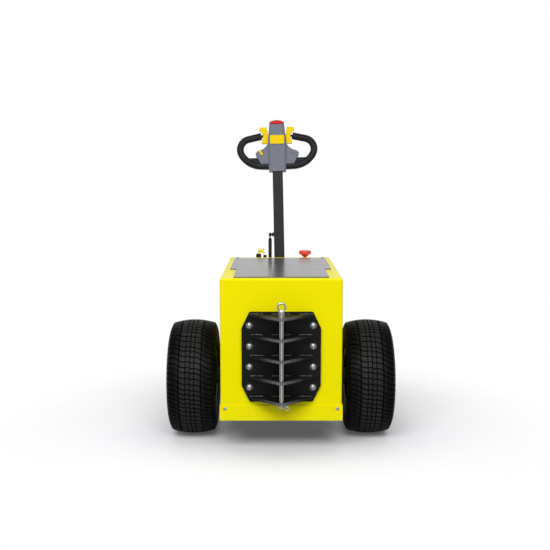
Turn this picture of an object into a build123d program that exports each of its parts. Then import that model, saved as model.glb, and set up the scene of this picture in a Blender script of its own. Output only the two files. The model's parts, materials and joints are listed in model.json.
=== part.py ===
from build123d import *
import math
import os

# Pedestrian baggage tug. Millimetres, +Z up, the hitch faces -Y and the tiller stands at +Y.
# The pieces are drawn with the front face of the body cover at Y = 0 and the floor at Z = 0.
# They are then shifted along Y, so that the origin is under the middle of the whole machine.

# Body cover: a bent sheet hood over the chassis
BODY_WIDTH = 464.0
BODY_LENGTH = 750.0
TOP_Z = 684.0
SEAM_Z = 195.0
COVER_WALL = 3.0
COVER_BEND = 8.0

# Chassis: apron belt below the seam, with plates welded inside it
APRON_BOTTOM_Z = 136.0
APRON_PROUD = 3.0
BELT_WALL = 5.0
FRAME_PLATE = 6.0
PAN_LENGTH = 400.0
CASTOR_DECK_Z = 245.0
BULKHEAD_DROP = 84.0
BULKHEAD_WIDTH = 400.0
GUSSET_INSET = 20.0
GUSSET_REACH = 45.0
COVER_GAP = 0.5
BELT_LAP = 5.0

# Lid: a T-shaped plate on the cover's top, with a knuckle at each back corner
LID_THICK = 4.0
LID_FRONT_Y = 24.0
LID_STEP_Y = 277.0
LID_BACK_INSET = 67.0
LID_FRONT_INSET = 51.0
LID_SIDE_INSET = 26.0
LID_LAP = 18.0
LID_CORNER = 4.0
# Recess for a finger: x, y, length, width
LID_SLOT = (4.0, 150.0, 13.5, 5.0)
KNUCKLE_RADIUS = 3.0
KNUCKLE_PIN_RADIUS = 1.5
KNUCKLE_GAP = 0.3
KNUCKLE_LENGTH = 6.0
KNUCKLE_REACH = 5.0

# Drive wheels
WHEEL_RADIUS = 235.0
WHEEL_Y = 300.0
WHEEL_GAP = 26.0
TYRE_HALF_WIDTH = 97.0
TREAD_HALF_WIDTH = 84.0
TREAD_DROP = 9.0
GROOVE_DEPTH = 6.5
# Grooves round the tread: centre from the tyre's middle, width
TREAD_GROOVES = ((-44.0, 5.4), (-17.2, 3.6), (0.0, 4.0), (17.2, 3.6), (44.0, 5.4))
SHOULDER_DROP = 39.0
BULGE_DROP = 67.0
RIM_RADIUS = 101.5
RIM_HALF_WIDTH = 80.0
RIM_FLANGE = 12.0
RIM_WALL = 5.0
SEAT_GAP = 0.2
BEAD_GAP = 0.5
CARCASS_WALL = 13.0
BEAD_LEAN = 3.0
SIDEWALL_LEAN = 2.0
SHOULDER_RISE = 3.0
DISC_OFFSET = 25.0
DISC_DISH = 14.0
DISC_BEND_RADIUS = 70.0
PILOT_RADIUS = 21.0
HUB_RADIUS = 52.0
HUB_NAVE_RADIUS = 34.0
HUB_FLANGE = 9.0
HUB_GAP = 0.3
HUB_CAP_REACH = 20.0
HUB_CAP_BEVEL = 6.0
PILOT_GAP = 1.0
FLANGE_LEAN = 2.0
AXLE_TUBE_RADIUS = 32.0
AXLE_TUBE_INSET = 58.0
AXLE_SLOT_GAP = 12.0
SPINDLE_RADIUS = 16.0
SPINDLE_LENGTH = 40.0
SPINDLE_GAP = 0.1

# Transaxle and motor
GEARCASE_RADIUS = 78.0
GEARCASE_HALF = 62.0
GEARCASE_ROUND = 14.0
GEAR_END_WIDTH = 40.0
GEAR_END_HALF = 45.0
MOTOR_RADIUS = 66.0
MOTOR_LENGTH = 230.0
MOTOR_Y = 135.0
MOTOR_Z = 240.0
MOTOR_ROUND = 6.0

# Batteries and their tray
BATTERY_WIDTH = 172.0
BATTERY_LENGTH = 330.0
BATTERY_HEIGHT = 225.0
BATTERY_Y = 250.0
BATTERY_GAP = 8.0
BATTERY_SLACK = 1.0
TRAY_Z = 345.0
TRAY_WALL = 4.0
TRAY_LIP = 40.0

# Hitch: plate, five shelves and the drop pin
PLATE_WIDTH = 300.0
PLATE_HEIGHT = 346.0
PLATE_THICK = 10.0
PLATE_MID_Z = 386.0
PLATE_CORNER_X = 30.0
PLATE_CORNER_Z = 62.0
PLATE_ROUND = 8.0
SHELF_COUNT = 5
SHELF_PITCH = 79.5
SHELF_MID_Z = 388.0
SHELF_THICK = 8.0
SHELF_HALF_WIDTH = 120.0
SHELF_END_DEPTH = 8.0
SHELF_NOSE_RADIUS = 18.0
PIN_REACH = 98.0
PIN_RADIUS = 8.0
PIN_CLEARANCE = 0.5
PIN_TAIL = 16.0
PIN_TIP_BEVEL = 3.0
PIN_COLLAR_RADIUS = 11.0
PIN_COLLAR_HEIGHT = 24.0
CLIP_HOLE_RADIUS = 1.75
CLIP_HOLE_DROP = 6.0
EYE_RADIUS = 14.5
EYE_WIRE_RADIUS = 4.0
EYE_SINK = 1.5

# Tiller hinge and column
HINGE_REACH = 50.0
HINGE_DROP = 84.0
LEAN_BACK = 7.5
LEAN_SIDE = 1.2
COLUMN_LENGTH = 483.0
COLUMN_SIZE = 48.0
COLUMN_WALL = 3.0
COLUMN_CORNER = 5.0
FOOT_RADIUS = 28.0
FOOT_LAP = 20.0
PLUG_LENGTH = 60.0
PLUG_SLACK = 1.0
TILLER_PIN_RADIUS = 10.0
TILLER_PIN_GAP = 0.1
TILLER_PIN_END = 4.0
EAR_GAP = 3.0
EAR_THICK = 8.0
EAR_RADIUS = 26.0
EAR_INSET = 12.0
BRACKET_WIDTH = 100.0
BRACKET_BELOW = 110.0
BRACKET_ABOVE = 64.0
BRACKET_THICK = 8.0

# Tiller head: housing with two wings, widths and heights measured along the column
HEAD_SOCKET = 22.0
HEAD_GAP = 0.3
HEAD_HEIGHT = 223.0
HEAD_SHOULDER = 124.0
HEAD_HALF_WIDTH = 40.0
HEAD_SHOULDER_HALF = 43.5
HEAD_TOP_HALF = 35.0
HEAD_DEPTH = 62.0
HEAD_BEVEL = 8.0
HEAD_ROUND = 10.0
WING_SPAN = 102.5
WING_TOP = 133.0
# Hollow curve of a wing's top edge, right-hand side: x, height
WING_WAIST = (64.0, 110.0)
WING_SHOULDER = (91.0, 99.0)
WING_TIP_TOP = 89.0
WING_TIP_BOTTOM = 77.5
WING_TIP_LEAN = 1.5
WING_FOOT_HALF = 77.5
WING_BOTTOM = 34.5
WING_DEPTH = 40.0
WING_ROUND = 6.0
WING_RIM_ROUND = 5.0
CAP_RISE = 10.0
CAP_HEIGHT = 19.0
CAP_INSET = 7.0
CAP_ROUND = 4.0
CAP_GAP = 0.5
BUTTON_HALF = 33.5
BUTTON_LOW = 128.0
BUTTON_HIGH = 169.0
BUTTON_PROUD = 5.0
BUTTON_ROUND = 5.0
BUTTON_BEVEL = 1.0
# Rocker: length, width and height of its cap, then x, height and turn
ROCKER_SIZE = (26.0, 10.0, 5.0)
ROCKER_ROUND = 2.0
ROCKER_PLACE = (-78.0, 89.5, -61.0)
# Round button in its ring: x, height
WING_BUTTON_PLACE = (76.0, 88.0)
WING_BUTTON_RADIUS = 9.0
WING_BUTTON_PROUD = 2.5
WING_RING_WIDTH = 1.6
WING_RING_PROUD = 1.2

# Tiller head: round grips and the paddles on their shaft
GRIP_RADIUS = 16.5
GRIP_X = 73.0
GRIP_HEIGHT = 169.6
GRIP_DROOP = 12.4
GRIP_RUN = 64.0
# Bends of a grip from its upper end: radius, turn
GRIP_BENDS = ((50.0, 109.0), (110.0, 56.0))
HEEL_DEPTH = 24.0
HEEL_TOP_DEPTH = 9.0
HEEL_LOW = 39.0
HEEL_TOP = 67.0
# Outer edge of the heel, buried in the bar: x, height
HEEL_POINTS = ((137.0, 67.0), (150.0, 64.0), (133.0, 47.0), (100.0, 35.0))
SHAFT_RADIUS = 6.0
PADDLE_DEPTH = 20.0
# Inner curve of a paddle, through three points: x, height
PADDLE_INNER = ((49.0, 211.0), (41.2, 168.0), (45.5, 133.5))
# Foot and horn of a paddle, then the hollow curve between them: x, height
PADDLE_FOOT = ((71.5, 133.5), (71.5, 146.0))
PADDLE_WAIST = ((67.0, 153.0), (65.0, 170.0), (73.5, 190.5))
PADDLE_HORN = ((82.5, 198.5), (80.5, 211.0))
PADDLE_ROUND = 2.0
PADDLE_BEVEL = 1.0

# Gas strut beside the column
STRUT_X = -46.0
STRUT_STUD_S = 186.0
STRUT_FOOT_REACH = 0.0
STRUT_FOOT_DROP = 80.0
STRUT_LUG_RADIUS = 14.0
STRUT_LUG_ROOT = 60.0
STRUT_TUBE_RADIUS = 8.0
STRUT_TUBE_LENGTH = 165.0
STRUT_ROD_RADIUS = 4.0
STRUT_ROD_GAP = 0.2
STRUT_ROD_INSIDE = 60.0
STRUT_EYE_RADIUS = 8.0
STRUT_EYE_HALF = 6.0
STRUT_NECK = 14.0
STRUT_NECK_RADIUS = 3.0
STRUT_CONE = 8.0
STUD_GAP = 0.3
STUD_ROOT_RADIUS = 12.0
STUD_TIP_RADIUS = 5.0
STUD_RADIUS = 6.0

# Rear console with its controls
CONSOLE_WIDTH = 450.0
CONSOLE_DEPTH = 100.0
CONSOLE_DROP = 14.0
CONSOLE_HEIGHT = 110.0
CONSOLE_WALL = 3.0
CONSOLE_SLOT_HALF = 60.0
CONSOLE_ROUND = 10.0
ESTOP_X = 119.0
ESTOP_COLLAR_RADIUS = 20.0
ESTOP_COLLAR_HEIGHT = 6.0
ESTOP_NECK_RADIUS = 8.0
ESTOP_NECK_HEIGHT = 8.0
ESTOP_SKIRT_RADIUS = 15.0
ESTOP_SKIRT_HEIGHT = 8.0
ESTOP_KNOB_RADIUS = 28.5
ESTOP_KNOB_HEIGHT = 19.0
ESTOP_KNOB_ROUND = 6.0
KEY_X = -100.0
KEY_RADIUS = 12.0
KEY_HEIGHT = 25.0
KEY_BEVEL = 2.0
KEY_STEM = 9.0
TAG_LENGTH = 36.4
TAG_REACH = 13.0
TAG_WAIST = 9.0
TAG_ROUND = 4.2
TAG_THICK = 3.0
TAG_TURN = 35.0
KNOB_X = -70.0
KNOB_RADIUS = 8.0
KNOB_HEIGHT = 20.0
KNOB_DOME = 4.0

# Rear castor
CASTOR_INSET = 150.0
CASTOR_TRAIL = 45.0
CASTOR_RADIUS = 100.0
CASTOR_HALF_WIDTH = 25.0
CASTOR_SHOULDER = 9.0
CASTOR_HUB_RADIUS = 72.0
CASTOR_WEB_HALF = 8.0
CASTOR_NAVE_RADIUS = 20.0
CASTOR_NAVE_GAP = 1.0
CASTOR_RIM_INSET = 3.0
CASTOR_RIM_WALL = 10.0
CASTOR_PLATE_SIZE = 120.0
CASTOR_PLATE_THICK = 6.0
CASTOR_PLATE_ROUND = 8.0
CASTOR_HEAD_RADIUS = 42.0
CASTOR_HEAD_HEIGHT = 10.0
RACE_GAP = 0.3
FORK_PLATE = 6.0
FORK_GAP = 5.0
FORK_HALF = 38.0
FORK_CROWN = 12.0
FORK_EYE_RADIUS = 16.0
CASTOR_AXLE_RADIUS = 7.0
AXLE_GAP = 0.1
AXLE_END = 6.0

# How far a cutting shape runs past what it cuts
CUT = 1.0

# Places that follow from the sizes above
TRACK_HALF = BODY_WIDTH / 2 + APRON_PROUD + WHEEL_GAP + TYRE_HALF_WIDTH
AXLE_TUBE_END = TRACK_HALF - AXLE_TUBE_INSET
LID_BACK_Y = BODY_LENGTH - LID_BACK_INSET
LID_FRONT_HALF = BODY_WIDTH / 2 - LID_FRONT_INSET
LID_BACK_HALF = BODY_WIDTH / 2 - LID_SIDE_INSET
KNUCKLE_Y = LID_BACK_Y + KNUCKLE_REACH
KNUCKLE_Z = TOP_Z + KNUCKLE_RADIUS + KNUCKLE_GAP
PIN_Y = -PIN_REACH
HINGE_Y = BODY_LENGTH + HINGE_REACH
HINGE_Z = TOP_Z - HINGE_DROP
BRACKET_BOTTOM_Z = HINGE_Z - BRACKET_BELOW
BRACKET_TOP_Z = HINGE_Z + BRACKET_ABOVE
STRUT_FOOT_Y = HINGE_Y + STRUT_FOOT_REACH
STRUT_FOOT_Z = HINGE_Z - STRUT_FOOT_DROP
CONSOLE_TOP_Z = TOP_Z - CONSOLE_DROP
CONSOLE_BOTTOM_Z = CONSOLE_TOP_Z - CONSOLE_HEIGHT
CONTROLS_Y = BODY_LENGTH + CONSOLE_DEPTH / 2
HEAD_BASE = COLUMN_LENGTH
CASTOR_Y = BODY_LENGTH - CASTOR_INSET

SIDES = {"left": -1, "right": 1}


def block(x0, x1, y0, y1, z0, z1):
    """A box between two corners."""
    size = Box(x1 - x0, y1 - y0, z1 - z0)
    return Pos((x0 + x1) / 2, (y0 + y1) / 2, (z0 + z1) / 2) * size


def rod_x(x0, x1, y, z, radius):
    """A round bar along X."""
    return Pos((x0 + x1) / 2, y, z) * Rot(0, 90, 0) * Cylinder(radius, abs(x1 - x0))


def rod_z(x, y, z0, z1, radius):
    """A round bar along Z."""
    return Pos(x, y, (z0 + z1) / 2) * Cylinder(radius, z1 - z0)


def side_profile(points, x0, x1):
    """A plate cut to (y, z) points, from x0 to x1."""
    face = make_face(Polyline([(y, z) for y, z in points], close=True))
    return Pos(x0, 0, 0) * extrude(Plane.YZ * face, x1 - x0)


def turned_x(points):
    """A body of revolution about X from (x, radius) points."""
    return revolve(make_face(Polyline(points, close=True)), Axis.X)


def turned_z(points):
    """A body of revolution about Z from (radius, z) points."""
    return revolve(make_face(Plane.XZ * Polyline(points, close=True)), Axis.Z)


def on_side(shape, sign):
    """A piece drawn for one side, mirrored for the other when sign is negative."""
    return mirror(shape, Plane.YZ) if sign < 0 else shape


def t_shape(inset):
    """The lid's outline, moved in by inset."""
    front, back = LID_FRONT_HALF - inset, LID_BACK_HALF - inset
    y0, y1, y2 = LID_FRONT_Y + inset, LID_STEP_Y + inset, LID_BACK_Y - inset
    corners = [(-front, y0), (front, y0), (front, y1), (back, y1)]
    corners += [(back, y2), (-back, y2), (-back, y1), (-front, y1)]
    return make_face(Polyline(corners, close=True))


def tiller_place(side_lean=True):
    """Hinge frame of the tiller: +Z runs up the column."""
    return Location((0, HINGE_Y, HINGE_Z), (-LEAN_BACK, -LEAN_SIDE if side_lean else 0, 0))


def body_cover():
    half = BODY_WIDTH / 2
    hood = block(-half, half, 0, BODY_LENGTH, SEAM_Z, TOP_Z)
    bends = hood.edges().filter_by(Axis.Z) + hood.faces().sort_by(Axis.Z)[-1].edges()
    hood = fillet(bends, COVER_BEND)
    inside = block(-half + COVER_WALL, half - COVER_WALL, COVER_WALL, BODY_LENGTH - COVER_WALL,
                   SEAM_Z - CUT, TOP_Z - COVER_WALL)
    bends = inside.edges().filter_by(Axis.Z) + inside.faces().sort_by(Axis.Z)[-1].edges()
    inside = fillet(bends, COVER_BEND - COVER_WALL)
    opening = Pos(0, 0, TOP_Z - 2 * COVER_WALL) * extrude(t_shape(LID_LAP), 3 * COVER_WALL)
    slot = AXLE_TUBE_RADIUS + AXLE_SLOT_GAP
    notch = rod_x(-half - CUT, half + CUT, WHEEL_Y, WHEEL_RADIUS, slot)
    notch += block(-half - CUT, half + CUT, WHEEL_Y - slot, WHEEL_Y + slot, SEAM_Z - CUT, WHEEL_RADIUS)
    return hood - inside - opening - notch


def chassis_frame():
    outer = BODY_WIDTH / 2 + APRON_PROUD
    inner = outer - BELT_WALL
    wall = BODY_WIDTH / 2 - COVER_WALL - COVER_GAP
    front = COVER_WALL + COVER_GAP
    rise = PAN_LENGTH + SEAM_Z - APRON_BOTTOM_Z
    back = BODY_LENGTH - COVER_WALL - COVER_GAP
    front_corner, back_corner = front + COVER_BEND, back - COVER_BEND
    deck_top = CASTOR_DECK_Z + FRAME_PLATE
    bulkhead_top = TOP_Z - BULKHEAD_DROP
    belt_side = [(-APRON_PROUD, APRON_BOTTOM_Z), (PAN_LENGTH, APRON_BOTTOM_Z), (rise, SEAM_Z),
                 (-APRON_PROUD, SEAM_Z)]
    plates = [
        (-outer, outer, -APRON_PROUD, BELT_WALL - APRON_PROUD, APRON_BOTTOM_Z, SEAM_Z),
        (-wall, wall, front, PAN_LENGTH, APRON_BOTTOM_Z, APRON_BOTTOM_Z + FRAME_PLATE),
        (-wall, wall, PAN_LENGTH, back_corner, CASTOR_DECK_Z, deck_top),
        (-BRACKET_WIDTH, BRACKET_WIDTH, back_corner, back, CASTOR_DECK_Z, deck_top),
        (-wall, wall, PAN_LENGTH - FRAME_PLATE, PAN_LENGTH, APRON_BOTTOM_Z, deck_top),
        (-BULKHEAD_WIDTH / 2, BULKHEAD_WIDTH / 2, front, front + FRAME_PLATE, APRON_BOTTOM_Z,
         bulkhead_top),
        (-wall, wall, BELT_WALL - APRON_PROUD, front + FRAME_PLATE, APRON_BOTTOM_Z, SEAM_Z - BELT_LAP),
        (-BRACKET_WIDTH, BRACKET_WIDTH, back - FRAME_PLATE, back, CASTOR_DECK_Z,
         BRACKET_TOP_Z - EAR_INSET),
    ]
    frame = block(*plates[0])
    for plate in plates[1:]:
        frame += block(*plate)
    side_plate = [(front_corner, APRON_BOTTOM_Z), (PAN_LENGTH, APRON_BOTTOM_Z),
                  (PAN_LENGTH, CASTOR_DECK_Z), (back_corner, CASTOR_DECK_Z), (back_corner, TRAY_Z),
                  (front_corner, TRAY_Z)]
    gusset = [(front, APRON_BOTTOM_Z), (front + GUSSET_REACH, APRON_BOTTOM_Z),
              (front + FRAME_PLATE, bulkhead_top - GUSSET_INSET), (front, bulkhead_top - GUSSET_INSET)]
    for sign in (-1, 1):
        x_belt = -outer if sign < 0 else inner
        frame += side_profile(belt_side, x_belt, x_belt + BELT_WALL)
        x_in = -wall if sign < 0 else wall - FRAME_PLATE
        frame += side_profile(side_plate, x_in, x_in + FRAME_PLATE)
        x_weld = -inner if sign < 0 else wall - FRAME_PLATE
        frame += block(x_weld, x_weld + inner - wall + FRAME_PLATE, front, PAN_LENGTH,
                       APRON_BOTTOM_Z, APRON_BOTTOM_Z + 2 * FRAME_PLATE)
        x_gusset = sign * (BULKHEAD_WIDTH / 2 - GUSSET_INSET)
        frame += side_profile(gusset, x_gusset - FRAME_PLATE / 2, x_gusset + FRAME_PLATE / 2)
    bore = AXLE_TUBE_RADIUS + SEAT_GAP
    return frame - rod_x(-outer - CUT, outer + CUT, WHEEL_Y, WHEEL_RADIUS, bore)


def knuckle(x0, x1):
    """One barrel of the lid's hinge, bored for its pin."""
    barrel = rod_x(x0, x1, KNUCKLE_Y, KNUCKLE_Z, KNUCKLE_RADIUS)
    return barrel - rod_x(x0 - CUT, x1 + CUT, KNUCKLE_Y, KNUCKLE_Z, KNUCKLE_PIN_RADIUS + KNUCKLE_GAP)


def lid():
    plate = extrude(t_shape(0), LID_THICK)
    plate = fillet(plate.edges().filter_by(Axis.Z), LID_CORNER)
    slot_x, slot_y, slot_long, slot_wide = LID_SLOT
    plate -= Pos(slot_x, slot_y, LID_THICK) * Box(slot_long, slot_wide, LID_THICK)
    plate = Pos(0, 0, TOP_Z) * plate
    strap_z = KNUCKLE_Z - KNUCKLE_GAP
    outer = LID_BACK_HALF - LID_CORNER
    for sign in (-1, 1):
        x0, x1 = sorted((sign * (outer - KNUCKLE_LENGTH), sign * (outer - 2 * KNUCKLE_LENGTH)))
        strap = block(x0, x1, LID_BACK_Y - CUT, KNUCKLE_Y, strap_z, KNUCKLE_Z + KNUCKLE_RADIUS)
        strap += block(x0, x1, LID_BACK_Y - KNUCKLE_LENGTH, LID_BACK_Y, TOP_Z + LID_THICK,
                       KNUCKLE_Z + KNUCKLE_RADIUS)
        hole = rod_x(x0 - CUT, x1 + CUT, KNUCKLE_Y, KNUCKLE_Z, KNUCKLE_PIN_RADIUS + KNUCKLE_GAP)
        plate += (strap - hole) + knuckle(x0, x1)
    return plate


def lid_hinges():
    outer = LID_BACK_HALF - LID_CORNER
    hinges = []
    for sign in (-1, 1):
        x0, x1 = sorted((sign * outer, sign * (outer - KNUCKLE_LENGTH + KNUCKLE_GAP)))
        p0, p1 = sorted((sign * outer, sign * (outer - 2 * KNUCKLE_LENGTH)))
        hinge = rod_x(x0, x1, KNUCKLE_Y, KNUCKLE_Z, KNUCKLE_RADIUS)
        hinge += block(x0, x1, KNUCKLE_Y - KNUCKLE_RADIUS / 2, KNUCKLE_Y + 2 * KNUCKLE_RADIUS,
                       TOP_Z, TOP_Z + KNUCKLE_RADIUS / 2)
        hinges.append(hinge + rod_x(p0, p1, KNUCKLE_Y, KNUCKLE_Z, KNUCKLE_PIN_RADIUS))
    return hinges


def tyre(sign):
    half, tread, wall = TYRE_HALF_WIDTH, TREAD_HALF_WIDTH, CARCASS_WALL
    tread_r = WHEEL_RADIUS - TREAD_DROP
    bulge_r = WHEEL_RADIUS - BULGE_DROP
    shoulder_r = WHEEL_RADIUS - SHOULDER_DROP
    bead_r = RIM_RADIUS + SEAT_GAP
    lip_r = bead_r + RIM_FLANGE + RIM_WALL
    seat = RIM_HALF_WIDTH - BEAD_GAP
    side = half - SIDEWALL_LEAN
    lip = seat + BEAD_LEAN
    corner = (half - TREAD_DROP / 1.5, (tread_r + shoulder_r) / 2 + SHOULDER_RISE)
    outline = [
        Line((-seat, bead_r), (seat, bead_r)),
        Line((seat, bead_r), (lip, lip_r)),
        ThreePointArc((lip, lip_r), (half, bulge_r), (side, shoulder_r)),
        ThreePointArc((side, shoulder_r), corner, (tread, tread_r)),
        ThreePointArc((tread, tread_r), (0, WHEEL_RADIUS), (-tread, tread_r)),
        ThreePointArc((-tread, tread_r), (-corner[0], corner[1]), (-side, shoulder_r)),
        ThreePointArc((-side, shoulder_r), (-half, bulge_r), (-lip, lip_r)),
        Line((-lip, lip_r), (-seat, bead_r)),
    ]
    inner, carcass_r = half - wall, tread_r - wall - GROOVE_DEPTH
    inner_seat, bead_top = seat - wall, bead_r + 1.5 * wall
    cavity = [(-inner_seat, bead_r - CUT), (inner_seat, bead_r - CUT), (inner_seat, bead_top),
              (inner, bulge_r), (inner - wall, carcass_r), (-inner + wall, carcass_r),
              (-inner, bulge_r), (-inner_seat, bead_top)]
    face = make_face(Curve() + outline) - make_face(Polyline(cavity, close=True))
    for middle, width in TREAD_GROOVES:
        floor = WHEEL_RADIUS - TREAD_DROP * (middle / tread) ** 2 - GROOVE_DEPTH
        face -= Pos(middle, floor + GROOVE_DEPTH) * Rectangle(width, 2 * GROOVE_DEPTH)
    return Pos(sign * TRACK_HALF, WHEEL_Y, WHEEL_RADIUS) * revolve(face, Axis.X)


def rim(sign):
    half, r, x, wall = RIM_HALF_WIDTH, RIM_RADIUS, DISC_OFFSET, RIM_WALL
    lip, dish = r + RIM_FLANGE, x + DISC_DISH
    bend, pilot, flange = DISC_BEND_RADIUS, PILOT_RADIUS + PILOT_GAP, half + FLANGE_LEAN
    points = [(-half, r), (half, r), (flange, lip), (flange + wall, lip), (half + wall, r - wall),
              (x + wall, r - wall), (dish, bend), (x, HUB_RADIUS), (x, pilot),
              (x - wall, pilot), (x - wall, HUB_RADIUS), (dish - wall, bend + wall),
              (x, r - wall), (-half - wall, r - wall), (-flange - wall, lip), (-flange, lip)]
    return Pos(sign * TRACK_HALF, WHEEL_Y, WHEEL_RADIUS) * on_side(turned_x(points), sign)


def hub(sign):
    face_x = DISC_OFFSET - RIM_WALL - SEAT_GAP
    tail_x = AXLE_TUBE_END + HUB_GAP - TRACK_HALF
    cap_x = DISC_OFFSET + HUB_CAP_REACH
    cap_r = PILOT_RADIUS - HUB_CAP_BEVEL
    points = [(tail_x - SPINDLE_LENGTH, 0), (tail_x - SPINDLE_LENGTH, SPINDLE_RADIUS),
              (tail_x, SPINDLE_RADIUS), (tail_x, HUB_NAVE_RADIUS), (face_x - HUB_FLANGE, HUB_NAVE_RADIUS),
              (face_x - HUB_FLANGE, HUB_RADIUS), (face_x, HUB_RADIUS), (face_x, PILOT_RADIUS),
              (cap_x - HUB_CAP_BEVEL, PILOT_RADIUS), (cap_x, cap_r), (cap_x, 0)]
    return Pos(sign * TRACK_HALF, WHEEL_Y, WHEEL_RADIUS) * on_side(turned_x(points), sign)


def transaxle():
    y, z = WHEEL_Y, WHEEL_RADIUS
    case = rod_x(-GEARCASE_HALF, GEARCASE_HALF, y, z, GEARCASE_RADIUS)
    case = fillet(case.edges().filter_by(GeomType.CIRCLE), GEARCASE_ROUND)
    case += rod_x(-AXLE_TUBE_END, AXLE_TUBE_END, y, z, AXLE_TUBE_RADIUS)
    for sign in (-1, 1):
        x0, x1 = sorted((sign * (AXLE_TUBE_END + CUT), sign * (AXLE_TUBE_END - SPINDLE_LENGTH - CUT)))
        case -= rod_x(x0, x1, y, z, SPINDLE_RADIUS + SPINDLE_GAP)
    start = motor_start()
    return case + block(start - GEAR_END_WIDTH, start, MOTOR_Y, y, z - GEAR_END_HALF, z + GEAR_END_HALF)


def motor_start():
    """Where the motor's flange meets the transaxle's end gear case."""
    return GEAR_END_WIDTH + GEAR_END_HALF - MOTOR_LENGTH / 2


def drive_motor():
    start = motor_start()
    motor = rod_x(start, start + MOTOR_LENGTH, MOTOR_Y, MOTOR_Z, MOTOR_RADIUS)
    return fillet(motor.edges().filter_by(GeomType.CIRCLE), MOTOR_ROUND)


def battery_tray():
    half = BATTERY_WIDTH + BATTERY_GAP / 2 + TRAY_WALL + BATTERY_SLACK
    wide = BODY_WIDTH / 2 - COVER_WALL - COVER_GAP
    y0 = BATTERY_Y - BATTERY_SLACK - TRAY_WALL
    y1 = BATTERY_Y + BATTERY_LENGTH + BATTERY_SLACK + TRAY_WALL
    tray = block(-half, half, y0, y1, TRAY_Z, TRAY_Z + TRAY_LIP)
    tray -= block(-half + TRAY_WALL, half - TRAY_WALL, y0 + TRAY_WALL, y1 - TRAY_WALL,
                  TRAY_Z + TRAY_WALL, TRAY_Z + TRAY_LIP + CUT)
    return tray + block(-wide, wide, y0, y1, TRAY_Z, TRAY_Z + TRAY_WALL)


def battery(sign):
    x = sign * (BATTERY_WIDTH + BATTERY_GAP) / 2
    z0 = TRAY_Z + TRAY_WALL
    return block(x - BATTERY_WIDTH / 2, x + BATTERY_WIDTH / 2, BATTERY_Y, BATTERY_Y + BATTERY_LENGTH,
                 z0, z0 + BATTERY_HEIGHT)


def hitch_plate():
    w, h = PLATE_WIDTH / 2, PLATE_HEIGHT / 2
    cx, cz = PLATE_CORNER_X, PLATE_CORNER_Z
    points = [(-w + cx, -h), (w - cx, -h), (w, -h + cz), (w, h - cz),
              (w - cx, h), (-w + cx, h), (-w, h - cz), (-w, -h + cz)]
    face = make_face(Polyline(points, close=True))
    plate = extrude(Plane.XZ * face, PLATE_THICK)
    plate = fillet(plate.edges().filter_by(Axis.Y), PLATE_ROUND)
    return Pos(0, 0, PLATE_MID_Z) * plate


def shelf_top(level):
    """Height of a shelf's top, from level 0 at the bottom."""
    return SHELF_MID_Z + (level - (SHELF_COUNT - 1) / 2) * SHELF_PITCH + SHELF_THICK / 2


def shelf_face():
    """A shelf's plan: a triangle with straight flanks, tangent to a round nose about the pin."""
    root_y, end_y = -PLATE_THICK, -PLATE_THICK - SHELF_END_DEPTH
    run, fall = SHELF_HALF_WIDTH, end_y - PIN_Y
    angle = math.atan2(fall, run) + math.asin(SHELF_NOSE_RADIUS / math.hypot(run, fall))
    nose_x = SHELF_NOSE_RADIUS * math.sin(angle)
    nose_y = PIN_Y - SHELF_NOSE_RADIUS * math.cos(angle)
    half = SHELF_HALF_WIDTH
    outline = Curve() + [
        Polyline((-nose_x, nose_y), (-half, end_y), (-half, root_y), (half, root_y), (half, end_y),
                 (nose_x, nose_y)),
        ThreePointArc((nose_x, nose_y), (0, PIN_Y - SHELF_NOSE_RADIUS), (-nose_x, nose_y)),
    ]
    return make_face(outline) - Pos(0, PIN_Y) * Circle(PIN_RADIUS + PIN_CLEARANCE)


def hitch_shelves():
    shelf = extrude(shelf_face(), -SHELF_THICK)
    return [Pos(0, 0, shelf_top(level)) * shelf for level in range(SHELF_COUNT)]


def hitch_pin():
    top = shelf_top(SHELF_COUNT - 1)
    under = shelf_top(0) - SHELF_THICK
    pin = rod_z(0, PIN_Y, under - PIN_TAIL, top + CUT, PIN_RADIUS)
    pin = chamfer(pin.edges().sort_by(Axis.Z)[0], PIN_TIP_BEVEL)
    pin += rod_z(0, PIN_Y, top, top + PIN_COLLAR_HEIGHT, PIN_COLLAR_RADIUS)
    eye_z = top + PIN_COLLAR_HEIGHT + EYE_RADIUS + EYE_WIRE_RADIUS - EYE_SINK
    pin += Pos(0, PIN_Y, eye_z) * Rot(90, 0, 0) * Torus(EYE_RADIUS, EYE_WIRE_RADIUS)
    reach = PIN_RADIUS + CUT
    return pin - rod_x(-reach, reach, PIN_Y, under - CLIP_HOLE_DROP, CLIP_HOLE_RADIUS)


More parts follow.
